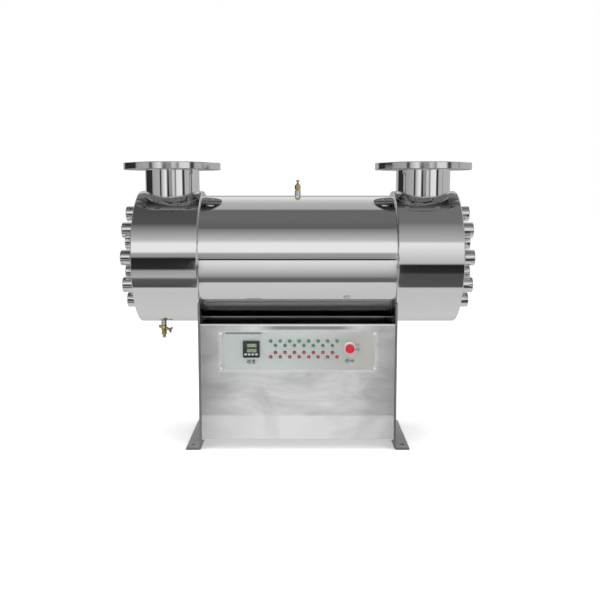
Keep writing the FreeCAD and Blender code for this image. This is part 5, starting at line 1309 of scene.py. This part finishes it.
# ---- Timer -----------------------------------------------------------------
TIMER_SIZE, TIMER_PROUD = 48, 6.0
WELL_SIZE, WELL_DEPTH = 43.6, 1.2
DIGIT_PITCH, DIGIT_LEAN = 6.4, 0.12
WINDOW = Vector((29.0, 11.0))
WINDOW_CENTRES = ((1.6, 11.2), (1.6, -3.7))
KEY_PLACES = [(-0.9 + (i - 1.5) * 10.4, -14.5) for i in range(4)]
PIPS = [(-18.2, 19.6 - 6.2 * i) for i in range(3)]
SEGMENTS = {"0": "abcdef", "1": "bc", "2": "abged", "3": "abgcd", "5": "afgcd", "8": "abcdefg"}
SEGMENT_PLACES = {"a": (0, 1, 0), "g": (0, 0, 0), "d": (0, -1, 0), "f": (-1, 0.5, 90), "b": (1, 0.5, 90),
                  "e": (-1, -0.5, 90), "c": (1, -0.5, 90)}


def on_timer(centre, lift, thick, shape):
    """A flat piece at a place on the timer, lifted off the panel, all in mm."""
    piece = slab("part", shape, lift * MM, (lift + thick) * MM)
    return moved(piece, at=(centre[0] * MM, centre[1] * MM, 0))


def timer():
    """A square panel timer: moulded frame, two windows with digits, three pips and four keys."""
    face = TIMER_PROUD - WELL_DEPTH
    frame_piece = slab("timer_frame", rectangle(TIMER_SIZE, TIMER_SIZE, 2.2, 5), 0, TIMER_PROUD * MM)
    soften(frame_piece, 0.6, 3, 40)
    cutters = [slab("well", rectangle(WELL_SIZE, WELL_SIZE, 2.0, 4), face * MM, (TIMER_PROUD + 2) * MM)]
    for place in WINDOW_CENTRES:
        cutters.append(on_timer(place, face - 1.0, 3, rectangle(WINDOW.x, WINDOW.y, 0.8, 3)))
    for place in PIPS:
        cutters.append(on_timer(place, face - 1.0, 3, rectangle(2.2, 2.2, 0.3, 2)))
    for place in KEY_PLACES:
        cutters.append(on_timer(place, face - 2.0, 4, rectangle(7.8, 5.2, 0.8, 3)))
    carve(frame_piece, cutters)
    ridge = slab("ridge", rectangle(40.5, 0.7, 0.3, 2), (face - 0.1) * MM, (face + 0.25) * MM)
    moved(ridge, at=(0, -10.6 * MM, 0))
    frame_piece = joined("timer_bezel_moulded", [frame_piece, ridge])
    front(frame_piece, TIMER.x, TIMER.z)
    fitted(frame_piece, "timer_plastic", instead_of=["timer_bezel"], angle=30)

    panes = []
    for place in WINDOW_CENTRES:
        pane = on_timer(place, face - 1.0, 0.55, rectangle(WINDOW.x - 0.1, WINDOW.y - 0.1, 0.8, 3))
        panes.append(soften(pane, 0.15, 2, 40))
    for place in PIPS:
        panes.append(soften(on_timer(place, face - 1.0, 0.9, rectangle(2.1, 2.1, 0.3, 2)), 0.2, 2, 40))
    piece = joined("timer_windows", panes)
    front(piece, TIMER.x, TIMER.z)
    fitted(piece, "display_glass", instead_of=["timer_displays"])

    digits = []
    for (cx, cy), text in zip(WINDOW_CENTRES, ("0085", "0250")):
        for k, digit in enumerate(text):
            x0 = cx + (k - 1.5) * DIGIT_PITCH
            for segment in SEGMENTS[digit]:
                dx, dy, turn = SEGMENT_PLACES[segment]
                bar = rounded([(-1.7, 0), (-1.2, -0.5), (1.2, -0.5), (1.7, 0), (1.2, 0.5), (-1.2, 0.5)])
                stroke = slab("stroke", bar, (face - 0.47) * MM, (face - 0.40) * MM)
                moved(stroke, (0, 0, turn))
                lean = DIGIT_LEAN * dy * 3.6
                moved(stroke, at=((x0 + dx * 1.9 + lean) * MM, (cy + dy * 3.7) * MM, 0))
                digits.append(stroke)
        digits.append(on_timer((cx + 3.2, cy - 3.9), face - 0.47, 0.07, rectangle(0.9, 0.9)))
    piece = joined("timer_digits", digits)
    front(piece, TIMER.x, TIMER.z)
    fitted(piece, "display_glass", finish="digit_glow")

    for i, place in enumerate(KEY_PLACES):
        name = f"timer_key_{i + 1}"
        cap = on_timer(place, face - 1.2, 2.0, rectangle(7.2, 4.6, 0.9, 4))
        soften(cap, 0.35, 3, 40)
        if i == 0:
            sign = slab("sign", arc_band(1.1, 0.4, 30, 330, steps=14), (face + 0.76) * MM,
                        (face + 0.84) * MM)
        else:
            arrow = rounded([(-1.2, -0.6), (0, 0.9), (1.2, -0.6), (0, -0.1)])
            sign = slab("sign", arrow, (face + 0.76) * MM, (face + 0.84) * MM)
            moved(sign, (0, 0, (90, 180, 0)[i - 1]))
        moved(sign, at=(place[0] * MM, place[1] * MM, 0))
        piece = joined(name + "_cap", [cap, sign])
        front(piece, TIMER.x, TIMER.z)
        fitted(piece, "key_plastic", name, [name])


# ---- Push switch -----------------------------------------------------------
def switch():
    """A bright guard round a red push head."""
    guard = turned("switch_guard", [(-10.4, 4.6), (-10.4, 10.5), (0, 10.5), (0, 16, 0.5), (1.6, 16, 0.8),
                   (2.5, 15.0, 0.4), (2.5, 14.4, 0.3), (4.5, 13.9, 0.3), (6.0, 14.4, 0.3), (23.0, 14.75,
                   0.5), (26.5, 14.6, 1.0), (26.5, 13.5, 0.7), (25.0, 13.42), (2.5, 13.42), (2.5, 4.6)], 72,
                   steps=4)
    front(guard, SWITCH.x, SWITCH.z)
    fitted(guard, "bezel_chrome", instead_of=["switch_collar"])
    head_low, head_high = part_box("switch_head")
    length = (head_high.y - head_low.y) / MM
    head = turned("switch_head_moulded", [
        (0, 4.55), (0, 12.6, 0.4), (1.0, 13.0, 0.4), (length - 3.0, 13.0, 0.4), (length - 0.9, 12.2, 1.4),
        (length - 0.3, 9.4, 1.0), (length - 0.8, 8.6, 0.6), (length - 0.1, 3.0, 3.0), (length, 0),
        (length / 2 + 0.1, 0), (length / 2 + 0.1, 4.55)], 72, steps=5)
    mark = slab("mark", rectangle(1.2, 3.0, 0.3), (length - 0.9) * MM, (length + 4) * MM)
    carve(head, [moved(mark, at=(0, 10.9 * MM, 0))])
    front(head, SWITCH.x, SWITCH.z, head_high.y)
    fitted(head, "switch_red", "switch_head", ["switch_head"], 30)


# ---- Inside the cabinet ----------------------------------------------------
def facing_back(piece, x, y, z):
    """Turns a piece made in the XY plane with its face up so that it faces the rear door."""
    return moved(piece, (-90, 180, 0), (x, y, z))


BALLAST_COLUMNS, BALLAST_ROWS = 5, 3
BALLAST_PITCH = Vector((104, 70)) * MM
BALLAST_BODY = (80, 58)
TERMINAL_COUNT, TERMINAL_PITCH = 12, 6 * MM
BREAKER_SHOULDER = 48 * MM


def ballasts():
    """Finned electronic ballasts with a terminal strip at each end, screwed to the tray in rows."""
    low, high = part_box("ballasts")
    parts = []
    case = slab("case", rectangle(*BALLAST_BODY, 2.0, 3), 0.0, 34.5 * MM)
    grooves = [slab("groove", rectangle(1.6, 60, 0, 1, (x, 0)), 33.4 * MM, 36 * MM) for x in range(-24, 25,
               6)]
    carve(case, grooves)
    parts.append(soften(case, 0.8, 2, 40))
    for side in (-1, 1):
        strip = slab("strip", rectangle(5.0, 44, 0.8, 2, (side * 35.5, 0)), 34 * MM, 35.9 * MM)
        parts.append(soften(strip, 0.3, 1, 40))
        ear = slab("ear", rectangle(8, 29, 2.0, 3, (side * 42, 0)), 0.0, 1.5 * MM)
        parts.append(soften(ear, 0.3, 1, 40))
        screw = turned("screw", [(1.4, 0), (1.4, 2.6, 0.2), (2.6, 2.2, 0.8), (3.0, 0)], 16, steps=2)
        parts.append(moved(screw, at=(side * 42.6 * MM, 0, 0)))
        for k in range(6):
            pin = turned("pin", [(35.7, 0), (35.7, 1.9), (36.0, 1.7), (35.9, 0)], 10, steps=1)
            parts.append(moved(pin, at=(side * 35.5 * MM, (k - 2.5) * 6.6 * MM, 0)))
    unit = joined("unit", parts)
    for vertex in unit.data.vertices:
        vertex.co.z = min(vertex.co.z, high.y - low.y)
    x, _, z = middle("ballasts")
    block = copies(ROWS, unit, "ballast_case", (x, low.y, z), FACING_REAR, columns=BALLAST_COLUMNS,
                   rows=BALLAST_ROWS, column_pitch=BALLAST_PITCH.x, row_pitch=BALLAST_PITCH.y)
    discard([unit])
    block.name = "ballasts_finned"
    fitted(block, "ballast_case", instead_of=["ballasts"])


def terminals():
    """Rail terminals, each with a wire funnel and a screw well top and bottom."""
    low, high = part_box("terminal_blocks")
    depth = (high.y - low.y) / MM
    height = (high.z - low.z) / MM
    block = slab("terminal", rounded([
        (0, -height / 2, 1.0), (depth - 12, -height / 2, 1.0), (depth, -height / 2 + 9, 1.0),
        (depth, height / 2 - 9, 1.0), (depth - 12, height / 2, 1.0), (0, height / 2, 1.0)], 2), -2.85 * MM,
        2.85 * MM)
    cutters = []
    for side in (-1, 1):
        well = hole(1.9, 8, 12)
        cutters.append(moved(well, (0, 90, 0), (depth * MM, side * 7.5 * MM, 0)))
        funnel = slab("funnel", rectangle(9, 5, 0, 1, (depth - 4, side * (height / 2 - 3))), -1.9 * MM,
                      1.9 * MM)
        cutters.append(funnel)
    carve(block, cutters)
    soften(block, 0.25, 1, 40)
    block.data.transform(Matrix(((0, 0, 1, 0), (0, 1, 0, 0), (1, 0, 0, 0), (0, 0, 0, 1))))
    x, _, z = middle("terminal_blocks")
    row = copies(ROWS, block, "terminal_plastic", (x, low.y, z), FACING_REAR, columns=TERMINAL_COUNT,
                 rows=1, column_pitch=TERMINAL_PITCH)
    discard([block])
    row.name = "terminal_row"
    fitted(row, "terminal_plastic", instead_of=["terminal_blocks"])


def breaker_face():
    """Four slotted clamp screws, each in a ring, on the breaker's shoulder."""
    x, _, z = middle("breaker")
    shoulder_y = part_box("breaker")[0].y + BREAKER_SHOULDER
    parts = []
    for side in (-1, 1):
        for dx in (-9, 9):
            ring = turned("ring", [(0, 2.6), (0, 4.0, 0.2), (0.5, 4.0, 0.2), (0.5, 2.6)], 20, steps=2)
            screw = turned("screw", [(0, 0), (0, 2.5), (0.3, 2.3), (0.3, 0)], 20, steps=1)
            slot = slab("slot", rectangle(6, 0.7), 0.1 * MM, 1 * MM)
            carve(screw, [slot])
            for part in (ring, screw):
                parts.append(facing_back(part, x + dx * MM, shoulder_y, z + side * 32 * MM))
    piece = joined("breaker_clamps", parts)
    fitted(piece, "breaker_plastic", finish="screw_chrome")


# ---- Rear of the cabinet ---------------------------------------------------
GLAND_XS = (-180, 0, 180)
GLAND_FLATS = 24.0


def glands():
    """Nylon cable glands: a chamfered hexagon and a ribbed dome, with a clamped mouth."""
    strip_z = middle("cable_glands")[2]
    wall_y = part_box("cable_glands")[0].y + 9 * MM
    thread = [(-9, 6.0), (-9, 9.4)] + threaded(5, 1.5, (-8.2, 9.2), (-7.6, 9.95))
    parts = []
    for x in GLAND_XS:
        neck = turned("neck", thread + [(0.2, 9.9), (0.2, 6.0)], 36, steps=1)
        bar = hexagon_bar("hexagon", GLAND_FLATS, 0.0, 7.0, 1.0)
        carve(bar, [hole(6.0)])
        dome = turned("dome", [(6.9, 6.0), (6.9, 11.4, 0.5), (13.5, 11.4, 1.0), (18.5, 9.8, 2.0),
                                      (21.0, 7.6, 1.2), (21.0, 6.0, 0.5)], 72, steps=4)
        fluted(dome, 0.0, 7.5, 16, 9, 0.03, 18)
        for part in (neck, bar, dome):
            parts.append(facing_back(part, x * MM, wall_y, strip_z))
    fitted(joined("cable_glands_moulded", parts), "gland_nylon", instead_of=["cable_glands"])


for side, _, _ in SIDES:
    flange(side)
welds()
saddle_welds()
gland_fittings()
vent()
drain()
clear_panel()
lights()
screws()
printed_marks()
timer()
switch()
ballasts()
terminals()
breaker_face()
glands()
